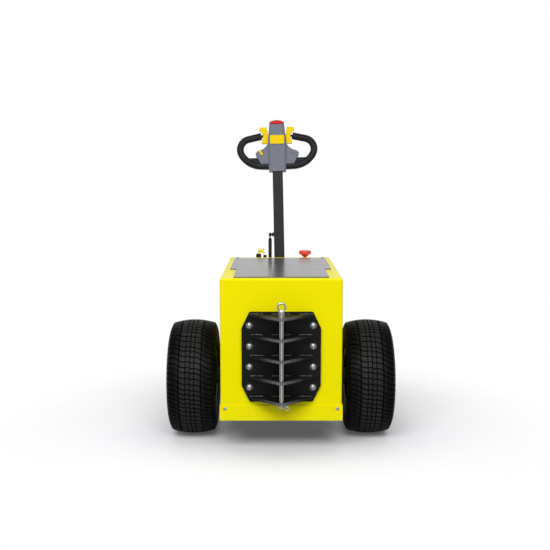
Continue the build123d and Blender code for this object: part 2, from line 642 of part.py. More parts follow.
def tiller_bracket():
    inner = COLUMN_SIZE / 2 + EAR_GAP
    y0 = BODY_LENGTH + CONSOLE_WALL
    bracket = block(-BRACKET_WIDTH / 2, BRACKET_WIDTH / 2, y0, y0 + BRACKET_THICK,
                    BRACKET_BOTTOM_Z, BRACKET_TOP_Z)
    ear = side_profile([(y0, BRACKET_BOTTOM_Z + EAR_INSET), (y0, BRACKET_TOP_Z - EAR_INSET),
                        (HINGE_Y, HINGE_Z + EAR_RADIUS), (HINGE_Y, HINGE_Z - EAR_RADIUS)], 0, EAR_THICK)
    ear += rod_x(0, EAR_THICK, HINGE_Y, HINGE_Z, EAR_RADIUS)
    for x in (-inner - EAR_THICK, inner):
        bracket += Pos(x, 0, 0) * ear
    lug = side_profile([(y0, BRACKET_BOTTOM_Z), (y0, BRACKET_BOTTOM_Z + STRUT_LUG_ROOT),
                        (STRUT_FOOT_Y, STRUT_FOOT_Z + STRUT_LUG_RADIUS),
                        (STRUT_FOOT_Y, STRUT_FOOT_Z - STRUT_LUG_RADIUS)], 0, EAR_THICK)
    lug += rod_x(0, EAR_THICK, STRUT_FOOT_Y, STRUT_FOOT_Z, STRUT_LUG_RADIUS)
    bracket += Pos(-inner - EAR_THICK, 0, 0) * lug
    reach = inner + EAR_THICK + CUT
    return bracket - rod_x(-reach, reach, HINGE_Y, HINGE_Z, TILLER_PIN_RADIUS + TILLER_PIN_GAP)


def tiller_pin():
    reach = COLUMN_SIZE / 2 + EAR_GAP + EAR_THICK + TILLER_PIN_END
    return rod_x(-reach, reach, HINGE_Y, HINGE_Z, TILLER_PIN_RADIUS)


def tiller_column():
    half = COLUMN_SIZE / 2
    hollow = COLUMN_SIZE - 2 * COLUMN_WALL
    tube = RectangleRounded(COLUMN_SIZE, COLUMN_SIZE, COLUMN_CORNER)
    tube -= RectangleRounded(hollow, hollow, COLUMN_CORNER - COLUMN_WALL)
    column = extrude(tube, COLUMN_LENGTH + HEAD_SOCKET - FOOT_LAP)
    column = tiller_place() * Pos(0, 0, FOOT_LAP) * column
    foot = rod_x(-half, half, HINGE_Y, HINGE_Z, FOOT_RADIUS)
    plug_half = half - COLUMN_WALL - PLUG_SLACK
    plug = tiller_place(False) * block(-plug_half, plug_half, -plug_half, plug_half, 0, PLUG_LENGTH)
    bore = rod_x(-half - CUT, half + CUT, HINGE_Y, HINGE_Z, TILLER_PIN_RADIUS + TILLER_PIN_GAP)
    return column + (foot + plug) - bore


def head_plate(face, depth):
    """A plate from a face drawn in the head's plane, centred on the column's axis."""
    return extrude(Plane.XZ * face, depth / 2, both=True)


def housing_face(gap=0.0):
    """The housing's front outline, grown sideways by a gap."""
    right = [(HEAD_HALF_WIDTH + gap, HEAD_BASE), (HEAD_SHOULDER_HALF + gap, HEAD_BASE + HEAD_SHOULDER),
             (HEAD_TOP_HALF + gap, HEAD_BASE + HEAD_HEIGHT)]
    return make_face(Polyline(right + [(-x, s) for x, s in reversed(right)], close=True))


def wing_face():
    """The wings' outline: a foot, a rounded tip and a hollow curve up to the housing."""
    wing = Sketch()
    for sign in (-1, 1):
        def at(x, height):
            return (sign * x, HEAD_BASE + height)
        edge = [
            Polyline(at(0, WING_TOP), at(0, WING_BOTTOM), at(WING_FOOT_HALF, WING_BOTTOM),
                     at(WING_SPAN - WING_TIP_LEAN, WING_TIP_BOTTOM), at(WING_SPAN, WING_TIP_TOP),
                     at(*WING_SHOULDER)),
            ThreePointArc(at(*WING_SHOULDER), at(*WING_WAIST), at(HEAD_SHOULDER_HALF, WING_TOP)),
            Line(at(HEAD_SHOULDER_HALF, WING_TOP), at(0, WING_TOP)),
        ]
        wing += make_face(Curve() + edge)
    return wing


def grip_bar(radius):
    """The right-hand grip's bar: a straight run from its upper end, then the bends in turn."""
    start = Vector(GRIP_X, HEAD_BASE + GRIP_HEIGHT)
    path = Curve() + Line(start, start + Vector(GRIP_RUN, 0).rotate(Axis.Z, -GRIP_DROOP))
    for bend_radius, turn in GRIP_BENDS:
        path += JernArc(path @ 1, path % 1, bend_radius, -turn)
    tail = path % 1
    path += Line(path @ 1, path @ 1 + tail * ((path @ 1).X - HEAD_HALF_WIDTH) / abs(tail.X))
    path = Plane.XZ * path
    return sweep(Plane(path @ 0, z_dir=path % 0) * Circle(radius), path=path)


def head_housing():
    core = head_plate(housing_face(), HEAD_DEPTH)
    front = core.faces().sort_by(Axis.Y)[0]
    core = chamfer(front.edges().sort_by(Axis.Z)[1:], HEAD_BEVEL)
    core = fillet(core.faces().sort_by(Axis.Y)[-1].edges(), HEAD_ROUND)
    wing = head_plate(wing_face(), WING_DEPTH)
    upright = wing.edges().filter_by(Axis.Y)
    wing = fillet([edge for edge in upright if abs(edge.center().X) > HEAD_SHOULDER_HALF + CUT], WING_ROUND)
    rims = wing.faces().sort_by(Axis.Y)
    wing = fillet(rims[0].edges() + rims[-1].edges(), WING_RIM_ROUND)
    hole = grip_bar(GRIP_RADIUS + HEAD_GAP)
    wing = wing - hole - mirror(hole, Plane.YZ)
    socket = COLUMN_SIZE / 2 + HEAD_GAP
    core -= block(-socket, socket, -socket, socket, HEAD_BASE - CUT, HEAD_BASE + HEAD_SOCKET)
    return tiller_place() * (core + wing)


def grip_heel():
    """The flat web between the bar and the wing, thinner at its top edge."""
    slope = (WING_SPAN - WING_TIP_LEAN - WING_FOOT_HALF) / (WING_TIP_BOTTOM - WING_BOTTOM)

    def beside_wing(height):
        return (WING_FOOT_HALF + slope * (height - WING_BOTTOM) + 2 * HEAD_GAP, height)
    outline = [beside_wing(HEEL_LOW), beside_wing(HEEL_TOP)] + list(HEEL_POINTS)
    face = make_face(Polyline([(x, HEAD_BASE + height) for x, height in outline], close=True))
    bottom, low, high = [HEAD_BASE + height for height in (0, HEEL_LOW, HEEL_TOP)]
    wide, narrow = HEEL_DEPTH / 2, HEEL_TOP_DEPTH / 2
    wedge = side_profile([(-wide, bottom), (-wide, low), (-narrow, high), (narrow, high), (wide, low),
                          (wide, bottom)], HEAD_HALF_WIDTH, GRIP_X + GRIP_RUN + GRIP_BENDS[0][0])
    return head_plate(face, HEEL_DEPTH) & wedge


def grip(sign):
    """A round bar bent round the hand, its heel beside the wing, and the paddle's shaft."""
    bar = grip_bar(GRIP_RADIUS) - head_plate(housing_face(HEAD_GAP), HEAD_DEPTH)
    shaft_s = HEAD_BASE + GRIP_HEIGHT
    shaft = rod_x(shaft_x(), GRIP_X + GRIP_RADIUS, 0, shaft_s, SHAFT_RADIUS)
    return tiller_place() * on_side(bar + grip_heel() + shaft, sign)


def side_of_head(height):
    """Half width of the housing at a height above its shoulder."""
    taper = (HEAD_SHOULDER_HALF - HEAD_TOP_HALF) / (HEAD_HEIGHT - HEAD_SHOULDER)
    return HEAD_SHOULDER_HALF - taper * (height - HEAD_SHOULDER)


def shaft_x():
    """Where a paddle's shaft meets the tapered side of the housing."""
    return side_of_head(GRIP_HEIGHT - SHAFT_RADIUS) + HEAD_GAP


def paddle(sign):
    """A C-shaped lever with a horn, a hollow waist and a foot, bored for its shaft."""
    def at(point):
        return (point[0], HEAD_BASE + point[1])
    top, inner, bottom = map(at, PADDLE_INNER)
    toe, heel = map(at, PADDLE_FOOT)
    low, waist, high = map(at, PADDLE_WAIST)
    horn, tip = map(at, PADDLE_HORN)
    outline = [ThreePointArc(top, inner, bottom), Polyline(bottom, toe, heel, low),
               ThreePointArc(low, waist, high), Polyline(high, horn, tip, top)]
    body = head_plate(make_face(Curve() + outline), PADDLE_DEPTH)
    body = fillet(body.edges().filter_by(Axis.Y), PADDLE_ROUND)
    faces = body.faces().sort_by(Axis.Y)
    body = chamfer(faces[0].edges() + faces[-1].edges(), PADDLE_BEVEL)
    bore = rod_x(0, WING_SPAN, 0, HEAD_BASE + GRIP_HEIGHT, SHAFT_RADIUS + HEAD_GAP)
    return tiller_place() * on_side(body - bore, sign)


def belly_button():
    half = HEAD_TOP_HALF - CAP_GAP
    low = HEAD_BASE + HEAD_HEIGHT
    high = low + CAP_RISE
    cap = Curve() + [Line((-half, low), (half, low)),
                     Line((half, low), (half, high)),
                     ThreePointArc((half, high), (0, low + CAP_HEIGHT), (-half, high)),
                     Line((-half, high), (-half, low))]
    shape = head_plate(make_face(cap), HEAD_DEPTH - 2 * CAP_INSET)
    shape = fillet(shape.edges().filter_by(Axis.Y).sort_by(Axis.Z)[-2:], CAP_ROUND)
    faces = shape.faces().sort_by(Axis.Y)
    return tiller_place() * chamfer(faces[0].edges() + faces[-1].edges(), CAP_INSET / 2)


def horn_button():
    face = RectangleRounded(2 * BUTTON_HALF, BUTTON_HIGH - BUTTON_LOW, BUTTON_ROUND)
    middle = HEAD_BASE + (BUTTON_LOW + BUTTON_HIGH) / 2
    cap = extrude(Plane.XZ * face, BUTTON_PROUD)
    cap = chamfer(cap.faces().sort_by(Axis.Y)[0].edges(), BUTTON_BEVEL)
    return tiller_place() * Pos(0, -HEAD_DEPTH / 2, middle) * cap


def rocker_switch():
    x, height, turn = ROCKER_PLACE
    length, width, proud = ROCKER_SIZE
    cap = extrude(Plane.XZ * RectangleRounded(length, width, ROCKER_ROUND), proud)
    cap = chamfer(cap.faces().sort_by(Axis.Y)[0].edges(), BUTTON_BEVEL)
    return tiller_place() * Pos(x, -WING_DEPTH / 2, HEAD_BASE + height) * Rot(0, -turn, 0) * cap


def wing_buttons():
    """The round button on the right wing and the ring round it."""
    x, height = WING_BUTTON_PLACE
    inner = WING_BUTTON_RADIUS + HEAD_GAP
    cap = extrude(Plane.XZ * Circle(WING_BUTTON_RADIUS), WING_BUTTON_PROUD)
    cap = chamfer(cap.faces().sort_by(Axis.Y)[0].edges(), BUTTON_BEVEL)
    ring = extrude(Plane.XZ * (Circle(inner + WING_RING_WIDTH) - Circle(inner)), WING_RING_PROUD)
    place = tiller_place() * Pos(x, -WING_DEPTH / 2, HEAD_BASE + height)
    return [place * cap, place * ring]


def strut_line():
    """Stud point and foot point of the strut, and the turn that lays +Z along it."""
    lean = math.radians(LEAN_BACK)
    top = (HINGE_Y + STRUT_STUD_S * math.sin(lean), HINGE_Z + STRUT_STUD_S * math.cos(lean))
    run, rise = top[0] - STRUT_FOOT_Y, top[1] - STRUT_FOOT_Z
    return top, math.hypot(run, rise), math.degrees(math.atan2(run, rise))


def strut_tube():
    top, length, lean = strut_line()
    r, neck, bore = STRUT_TUBE_RADIUS, STRUT_NECK_RADIUS, STRUT_ROD_RADIUS + STRUT_ROD_GAP
    shoulder = -STRUT_NECK - STRUT_CONE
    tube = turned_z([(0, -STRUT_NECK), (neck, -STRUT_NECK), (r, shoulder), (r, -STRUT_TUBE_LENGTH),
                     (bore, -STRUT_TUBE_LENGTH), (bore, shoulder - r), (0, shoulder - r)])
    tube += rod_z(0, 0, -STRUT_NECK - CUT, 0, neck)
    tube += rod_x(-STRUT_EYE_HALF, STRUT_EYE_HALF, 0, 0, STRUT_EYE_RADIUS)
    return Location((STRUT_X, top[0], top[1]), (-lean, 0, 0)) * tube


def strut_rod():
    top, length, lean = strut_line()
    rod = rod_z(0, 0, -length, -STRUT_TUBE_LENGTH + STRUT_ROD_INSIDE, STRUT_ROD_RADIUS)
    rod += Pos(0, 0, -length) * rod_x(-STRUT_EYE_HALF, STRUT_EYE_HALF, 0, 0, STRUT_EYE_RADIUS)
    return Location((STRUT_X, top[0], top[1]), (-lean, 0, 0)) * rod


def strut_stud_upper():
    top, length, lean = strut_line()
    near = -COLUMN_SIZE / 2 - STRUT_STUD_S * math.sin(math.radians(LEAN_SIDE)) - STUD_GAP
    tip = STRUT_X + STRUT_EYE_HALF + STUD_GAP
    cone = Rot(0, -90, 0) * Cone(STUD_ROOT_RADIUS, STUD_TIP_RADIUS, near - tip)
    return Pos((near + tip) / 2, top[0], top[1]) * cone


def strut_stud_lower():
    tip = STRUT_X + STRUT_EYE_HALF + STUD_GAP
    ear = -COLUMN_SIZE / 2 - EAR_GAP - EAR_THICK
    return rod_x(tip, ear, STRUT_FOOT_Y, STRUT_FOOT_Z, STUD_RADIUS)


def rear_console():
    half, y0, y1 = CONSOLE_WIDTH / 2, BODY_LENGTH, BODY_LENGTH + CONSOLE_DEPTH
    wall, slot = CONSOLE_WALL, CONSOLE_SLOT_HALF
    shell = block(-half, half, y0, y1, CONSOLE_BOTTOM_Z, CONSOLE_TOP_Z)
    shell -= block(-slot, slot, y0 + wall, y1 + CUT, CONSOLE_BOTTOM_Z - CUT, CONSOLE_TOP_Z + CUT)
    shell = fillet(shell.edges().filter_by(Axis.Z).group_by(Axis.Y)[-1], CONSOLE_ROUND)
    for x0, x1 in ((-half + wall, -slot - wall), (slot + wall, half - wall)):
        inside = block(x0, x1, y0 + wall, y1 - wall, CONSOLE_BOTTOM_Z - CUT, CONSOLE_TOP_Z - wall)
        shell -= fillet(inside.edges().filter_by(Axis.Z).group_by(Axis.Y)[-1], CONSOLE_ROUND - wall)
    return shell


def estop_collar():
    z0 = CONSOLE_TOP_Z
    return rod_z(ESTOP_X, CONTROLS_Y, z0, z0 + ESTOP_COLLAR_HEIGHT, ESTOP_COLLAR_RADIUS)


def estop_button():
    neck_z = CONSOLE_TOP_Z + ESTOP_COLLAR_HEIGHT
    skirt_z = neck_z + ESTOP_NECK_HEIGHT
    under = skirt_z + ESTOP_SKIRT_HEIGHT
    top = under + ESTOP_KNOB_HEIGHT
    neck, skirt, r = ESTOP_NECK_RADIUS, ESTOP_SKIRT_RADIUS, ESTOP_KNOB_RADIUS
    knob = turned_z([(0, neck_z), (neck, neck_z), (neck, skirt_z), (skirt, skirt_z), (skirt, under),
                     (r, under), (r, top), (0, top)])
    rim = [edge for edge in knob.edges() if edge.geom_type == GeomType.CIRCLE and edge.radius > r - CUT]
    return Pos(ESTOP_X, CONTROLS_Y, 0) * fillet(rim, ESTOP_KNOB_ROUND)


def key_switch():
    barrel = rod_z(KEY_X, CONTROLS_Y, CONSOLE_TOP_Z, CONSOLE_TOP_Z + KEY_HEIGHT, KEY_RADIUS)
    return chamfer(barrel.edges().sort_by(Axis.Z)[-1], KEY_BEVEL)


def key_tag():
    """The key's bow with a two-lobed plastic tag hanging over to its side."""
    z0 = CONSOLE_TOP_Z + KEY_HEIGHT
    lobes = Sketch()
    for turn in (-TAG_TURN, TAG_TURN):
        lobes += Rot(0, 0, turn) * RectangleRounded(TAG_LENGTH, TAG_WAIST, TAG_ROUND)
    middle = z0 + KEY_STEM + TAG_WAIST / 2
    tag = Pos(KEY_X + TAG_REACH, CONTROLS_Y, middle) * head_plate(lobes, TAG_THICK)
    stem = block(KEY_X - TAG_WAIST / 2, KEY_X + TAG_WAIST / 2, CONTROLS_Y - TAG_THICK / 2,
                 CONTROLS_Y + TAG_THICK / 2, z0, middle)
    return tag + stem


def indicator_knob():
    top = CONSOLE_TOP_Z + KNOB_HEIGHT
    knob = rod_z(KNOB_X, CONTROLS_Y, CONSOLE_TOP_Z, top, KNOB_RADIUS)
    return fillet(knob.edges().sort_by(Axis.Z)[-1], KNOB_DOME)


def castor_plate():
    half = CASTOR_PLATE_SIZE / 2
    z1 = CASTOR_DECK_Z
    z0 = z1 - CASTOR_PLATE_THICK
    plate = block(-half, half, CASTOR_Y - half, CASTOR_Y + half, z0, z1)
    plate = fillet(plate.edges().filter_by(Axis.Z), CASTOR_PLATE_ROUND)
    return plate + rod_z(0, CASTOR_Y, z0 - CASTOR_HEAD_HEIGHT, z0, CASTOR_HEAD_RADIUS)


def castor_fork():
    top = CASTOR_DECK_Z - CASTOR_PLATE_THICK - CASTOR_HEAD_HEIGHT - RACE_GAP
    crown = top - FORK_CROWN
    inner = CASTOR_HALF_WIDTH + FORK_GAP
    axle_y = CASTOR_Y + CASTOR_TRAIL
    fork = rod_z(0, CASTOR_Y, crown, top, CASTOR_HEAD_RADIUS)
    fork += block(-inner - FORK_PLATE, inner + FORK_PLATE, CASTOR_Y - FORK_HALF, CASTOR_Y + FORK_HALF,
                  crown, crown + FORK_PLATE)
    leg = side_profile([(CASTOR_Y - FORK_HALF, crown + FORK_PLATE),
                        (CASTOR_Y + FORK_HALF, crown + FORK_PLATE),
                        (axle_y + FORK_EYE_RADIUS, CASTOR_RADIUS),
                        (axle_y - FORK_EYE_RADIUS, CASTOR_RADIUS)], 0, FORK_PLATE)
    leg += rod_x(0, FORK_PLATE, axle_y, CASTOR_RADIUS, FORK_EYE_RADIUS)
    for x in (-inner - FORK_PLATE, inner):
        fork += Pos(x, 0, 0) * leg
    reach = inner + FORK_PLATE + CUT
    return fork - rod_x(-reach, reach, axle_y, CASTOR_RADIUS, CASTOR_AXLE_RADIUS + AXLE_GAP)


def castor_axle():
    reach = CASTOR_HALF_WIDTH + FORK_GAP + FORK_PLATE + AXLE_END
    return rod_x(-reach, reach, CASTOR_Y + CASTOR_TRAIL, CASTOR_RADIUS, CASTOR_AXLE_RADIUS)


def castor_tyre():
    half = CASTOR_HALF_WIDTH
    ring = rod_x(-half, half, 0, 0, CASTOR_RADIUS)
    ring = fillet(ring.edges().filter_by(GeomType.CIRCLE), CASTOR_SHOULDER)
    ring -= rod_x(-half - CUT, half + CUT, 0, 0, CASTOR_HUB_RADIUS)
    return Pos(0, CASTOR_Y + CASTOR_TRAIL, CASTOR_RADIUS) * ring


def castor_hub():
    half, web = CASTOR_HALF_WIDTH - CASTOR_RIM_INSET, CASTOR_WEB_HALF
    nave = CASTOR_HALF_WIDTH + FORK_GAP - CASTOR_NAVE_GAP
    r = CASTOR_HUB_RADIUS - SEAT_GAP
    rim_r, nave_r = r - CASTOR_RIM_WALL, CASTOR_NAVE_RADIUS
    bore = CASTOR_AXLE_RADIUS + AXLE_GAP
    wheel = turned_x([(-nave, bore), (-nave, nave_r), (-web, nave_r), (-web, rim_r), (-half, rim_r),
                      (-half, r), (half, r), (half, rim_r), (web, rim_r), (web, nave_r),
                      (nave, nave_r), (nave, bore)])
    return Pos(0, CASTOR_Y + CASTOR_TRAIL, CASTOR_RADIUS) * wheel


def all_pieces():
    pieces = {
        "chassis_frame": chassis_frame(),
        "body_cover": body_cover(),
        "lid": lid(),
        "lid_hinges": lid_hinges(),
        "battery_tray": battery_tray(),
        "transaxle": transaxle(),
        "drive_motor": drive_motor(),
        "hitch_plate": hitch_plate(),
        "hitch_shelves": hitch_shelves(),
        "hitch_pin": hitch_pin(),
        "rear_console": rear_console(),
        "tiller_bracket": tiller_bracket(),
        "tiller_pin": tiller_pin(),
        "tiller_column": tiller_column(),
        "head_housing": head_housing(),
        "belly_button": belly_button(),
        "horn_button": horn_button(),
        "rocker_switch": rocker_switch(),
        "wing_buttons": wing_buttons(),
        "strut_tube": strut_tube(),
        "strut_rod": strut_rod(),
        "strut_stud_upper": strut_stud_upper(),
        "strut_stud_lower": strut_stud_lower(),
        "estop_collar": estop_collar(),
        "estop_button": estop_button(),
        "key_switch": key_switch(),
        "key_tag": key_tag(),
        "indicator_knob": indicator_knob(),
        "castor_plate": castor_plate(),
        "castor_fork": castor_fork(),
        "castor_axle": castor_axle(),
        "castor_tyre": castor_tyre(),
        "castor_hub": castor_hub(),
    }
    for side, sign in SIDES.items():
        pieces["tyre_" + side] = tyre(sign)
        pieces["rim_" + side] = rim(sign)
        pieces["hub_" + side] = hub(sign)
        pieces["battery_" + side] = battery(sign)
        pieces["grip_" + side] = grip(sign)
        pieces["paddle_" + side] = paddle(sign)
    return pieces


def solids_of(piece):
    """The piece as one shape, whether it is one solid or several that do not touch."""
    parts = piece if isinstance(piece, list) else [piece]
    return Compound([solid for part in parts for solid in part.solids()])


os.makedirs("parts", exist_ok=True)
pieces = {name: solids_of(piece) for name, piece in all_pieces().items()}
box = Compound(list(pieces.values())).bounding_box()
shift = Location((0, -(box.min.Y + box.max.Y) / 2, 0))
print("front face of the cover at Y = %.3f" % shift.position.Y)
for name, piece in pieces.items():
    export_step(piece.moved(shift), "parts/" + name + ".step")
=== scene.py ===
import json
import math
import random

import bmesh
import bpy
from mathutils import Matrix, Vector


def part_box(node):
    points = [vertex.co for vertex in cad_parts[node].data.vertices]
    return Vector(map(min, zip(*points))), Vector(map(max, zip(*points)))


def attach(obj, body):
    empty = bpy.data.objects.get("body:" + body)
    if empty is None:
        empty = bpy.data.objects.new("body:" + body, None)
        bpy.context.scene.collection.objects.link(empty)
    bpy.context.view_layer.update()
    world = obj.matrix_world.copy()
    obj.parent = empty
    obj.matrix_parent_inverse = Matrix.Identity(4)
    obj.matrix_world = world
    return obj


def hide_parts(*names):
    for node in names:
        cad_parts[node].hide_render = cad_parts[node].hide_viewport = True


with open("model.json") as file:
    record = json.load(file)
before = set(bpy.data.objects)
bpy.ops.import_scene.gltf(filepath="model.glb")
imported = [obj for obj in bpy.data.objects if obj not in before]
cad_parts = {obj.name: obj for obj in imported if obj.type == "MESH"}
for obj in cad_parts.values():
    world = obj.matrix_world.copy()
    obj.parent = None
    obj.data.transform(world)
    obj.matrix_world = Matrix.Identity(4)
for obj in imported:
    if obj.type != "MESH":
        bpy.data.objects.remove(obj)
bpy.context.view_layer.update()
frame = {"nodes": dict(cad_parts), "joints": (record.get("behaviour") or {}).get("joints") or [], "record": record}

MM = 0.001
JOINTS = {joint["name"]: joint for joint in frame["joints"]}
MOUNTS = {mount["name"]: mount for mount in frame["record"]["mounts"]}


def mid(node):
    """Middle of a CAD node's box."""
    lo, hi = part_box(node)
    return (lo + hi) / 2


# ---------------------------------------------------------------- node trees

# Sockets of a Mix node that mixes colours
COLOUR_A, COLOUR_B, COLOUR_OUT = 6, 7, 2
# Most values of a noise texture fall between these
NOISE_LOW, NOISE_HIGH = 0.3, 0.7


class Graph:
    """A small builder for one node tree."""

    def __init__(self, tree):
        self.tree = tree

    def node(self, kind, **values):
        made = self.tree.nodes.new("ShaderNode" + kind)
        for key, value in values.items():
            if key in made.inputs:
                made.inputs[key].default_value = value
            else:
                setattr(made, key, value)
        return made

    def link(self, out, into):
        self.tree.links.new(out, into)

    def feed(self, socket, value):
        """Links a socket to another one, or sets it to a plain value."""
        if isinstance(value, bpy.types.NodeSocket):
            self.link(value, socket)
        else:
            socket.default_value = value

    def axes(self, vector):
        made = self.node("SeparateXYZ")
        self.link(vector, made.inputs["Vector"])
        return made.outputs

    def maths(self, operation, *values):
        made = self.node("Math", operation=operation)
        for socket, value in zip(made.inputs, values):
            self.feed(socket, value)
        return made.outputs["Value"]

    def span(self, value, start, end, low, high, **options):
        """A value that goes from low to high as the given one goes from start to end."""
        made = self.node("MapRange", **options)
        for key, number in {"From Min": start, "From Max": end, "To Min": low, "To Max": high}.items():
            made.inputs[key].default_value = number
        self.link(value, made.inputs["Value"])
        return made.outputs["Result"]

    def mix(self, factor, off, on):
        """A colour that is off where the factor is 0 and on where it is 1."""
        made = self.node("Mix", data_type="RGBA")
        self.link(factor, made.inputs["Factor"])
        self.feed(made.inputs[COLOUR_A], off)
        self.feed(made.inputs[COLOUR_B], on)
        return made.outputs[COLOUR_OUT]

    def choose(self, flag, off, on):
        """A number that is off where the flag is 0 and on where it is 1."""
        made = self.node("Mix", data_type="FLOAT")
        self.link(flag, made.inputs["Factor"])
        self.feed(made.inputs["A"], off)
        self.feed(made.inputs["B"], on)
        return made.outputs["Result"]


class Shader(Graph):
    """One procedural material on object coordinates."""

    def __init__(self, name):
        self.mat = bpy.data.materials.new(name)
        self.mat.use_nodes = True
        super().__init__(self.mat.node_tree)
        self.bsdf = self.tree.nodes["Principled BSDF"]
        self.coord = self.node("TexCoord").outputs["Object"]
        self.base = None

    def noise(self, scale, detail=3.0, rough=0.55, stretch=(1, 1, 1)):
        mapping = self.node("Mapping", Scale=stretch)
        self.link(self.coord, mapping.inputs["Vector"])
        made = self.node("TexNoise", Scale=scale, Detail=detail, Roughness=rough)
        self.link(mapping.outputs["Vector"], made.inputs["Vector"])
        return made.outputs["Fac"]

    def ramp(self, fac, start, first, end, last):
        """A colour that goes from the first to the last between two positions."""
        made = self.node("ValToRGB")
        for element, at, colour in zip(made.color_ramp.elements, (start, end), (first, last)):
            element.position = at
            element.color = (*colour, 1)
        self.link(fac, made.inputs["Fac"])
        return made.outputs["Color"]

    def tint(self, colour):
        self.base = colour
        self.link(colour, self.bsdf.inputs["Base Color"])

    def cloudy(self, fac, colour, dark, pale):
        """Tints the surface with one colour, from its dark to its pale shade."""
        self.tint(self.ramp(fac, NOISE_LOW, shade(colour, dark), NOISE_HIGH, shade(colour, pale)))

    def gloss(self, fac, low, high):
        self.link(self.span(fac, NOISE_LOW, NOISE_HIGH, low, high), self.bsdf.inputs["Roughness"])

    def bump(self, fac, strength, distance):
        made = self.node("Bump", Strength=strength, Distance=distance)
        self.link(fac, made.inputs["Height"])
        self.link(made.outputs["Normal"], self.bsdf.inputs["Normal"])

    def constant(self, **values):
        for key, value in values.items():
            self.bsdf.inputs[key.replace("_", " ")].default_value = value


# ---------------------------------------------------------------- materials

def srgb(*channels):
    """Linear colour from display values of 0 to 255."""
    made = []
    for channel in channels:
        c = channel / 255
        made.append(c / 12.92 if c <= 0.04045 else ((c + 0.055) / 1.055) ** 2.4)
    return tuple(made)


def shade(colour, factor):
    return tuple(min(1.0, channel * factor) for channel in colour)


def coated(name, colour, rough, spread, grain, depth, cloud, level=0.5, vary=0.04):
    """A moulded or coated surface: cloudy tint, uneven gloss and a fine skin."""
    s = Shader(name)
    s.cloudy(s.noise(cloud), colour, 1 - spread, 1 + spread)
    s.gloss(s.noise(cloud * 3.1), rough - vary, rough + vary)
    s.bump(s.noise(grain, detail=2.0), strength=depth, distance=1.0 * MM)
    s.constant(Specular_IOR_Level=level)
    return s


def painted(name, colour, rough, **options):
    return coated(name, colour, rough, **options).mat


def brushed(name, colour, rough, stretch, spread=0.12):
    """Plated or machined metal with fine drawn lines."""
    s = Shader(name)
    lines = s.noise(160.0, detail=4.0, rough=0.6, stretch=stretch)
    s.cloudy(lines, colour, 1 - spread, 1 + spread)
    s.gloss(lines, rough * 0.75, rough * 1.3)
    s.bump(lines, strength=0.05, distance=0.4 * MM)
    s.constant(Metallic=1.0)
    return s.mat


def rubber_skin(s, rough, grain, depth, level):
    """Uneven gloss and fine grain, on rubber that has its tint."""
    s.gloss(s.noise(40.0), rough - 0.06, rough + 0.06)
    s.bump(s.noise(grain, detail=4.0, rough=0.7), strength=depth, distance=0.6 * MM)
    s.constant(Specular_IOR_Level=level)
    return s.mat


def rubber(name, colour, rough, grain, depth, level):
    s = Shader(name)
    s.cloudy(s.noise(14.0, detail=5.0), colour, 0.8, 1.25)
    return rubber_skin(s, rough, grain, depth, level)


def tread_rubber(name, middle, edge, rough, level):
    """Rubber with a painted highlight: paler over the middle of the tread, where it faces the lamps, and darker
    towards the shoulders, with a little random tone.
    """
    s = Shader(name)
    track = JOINTS["wheel_right_spin"]["pos_m"][0]
    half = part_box("tyre_right")[1].x - track
    off = s.maths("ABSOLUTE", s.maths("SUBTRACT", s.maths("ABSOLUTE", s.axes(s.coord)["X"]), track))
    # Painted highlight: the tint darkens with distance from the middle of the tread, and the noise adds random
    # tone
    painted_highlight_fade = s.maths("MULTIPLY_ADD", s.noise(60.0, detail=4.0), 0.25, s.maths("DIVIDE", off, half))
    s.tint(s.ramp(painted_highlight_fade, 0.44, middle, 0.74, edge))
    return rubber_skin(s, rough, grain=900.0, depth=0.12, level=level)


def shelf_paint_with_highlight(name, colour, highlight_grey, rim):
    """Black paint with a painted highlight of pale grey along the shelves' pointed front rim, strongest at the
    point.
    """
    s = coated(name, colour, 0.6, spread=0.15, grain=700.0, depth=0.12, cloud=30.0, level=0.2)
    lo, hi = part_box("hitch_shelves")
    axes = s.axes(s.coord)
    wide = s.maths("ABSOLUTE", axes["X"])
    rim_y = s.maths("MULTIPLY_ADD", wide, (hi.y - lo.y) / hi.x, lo.y)
    near_rim = s.maths("LESS_THAN", s.maths("SUBTRACT", axes["Y"], rim_y), rim)
    uneven = s.maths("MULTIPLY_ADD", s.noise(90.0, detail=4.0), 0.6, s.maths("DIVIDE", wide, hi.x))
    # Painted highlight: pale grey within the band along the front rim, more of it towards the middle
    s.tint(s.mix(near_rim, s.base, s.ramp(uneven, 0.35, highlight_grey, 1.0, colour)))
    return s.mat


def weld_bead(name, dark, bright):
    """Painted weld with painted glints: pale grey specks on its ripples stand in for highlights."""
    s = Shader(name)
    specks = s.noise(330.0, detail=2.0, rough=0.6)
    # Painted highlight: the pale specks in the tint are glints
    s.tint(s.ramp(specks, 0.52, dark, 0.64, bright))
    s.bump(specks, strength=0.6, distance=0.8 * MM)
    s.constant(Roughness=0.35, Specular_IOR_Level=0.4)
    return s.mat


def cover_and_frame(name, outside, inside, skin):
    """Paint that is yellow on the belt's outer skin and black on the plates inside it; the black is painted shade
    under the body, which also keeps yellow light from bouncing onto the floor.
    """
    s = coated(name, outside, 0.3, spread=0.012, grain=500.0, depth=0.02, cloud=5.0, level=0.1)
    lo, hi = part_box("chassis_frame")
    axes = s.axes(s.coord)
    sides = s.maths("GREATER_THAN", s.maths("ABSOLUTE", axes["X"]), hi.x - skin)
    ahead = s.maths("LESS_THAN", axes["Y"], lo.y + skin)
    # Painted shade: black everywhere but the belt's outer skin
    s.tint(s.mix(s.maths("MAXIMUM", sides, ahead), (*inside, 1), s.base))
    return s.mat


YELLOW = srgb(243, 232, 0)
BELT_WALL = 5.5 * MM
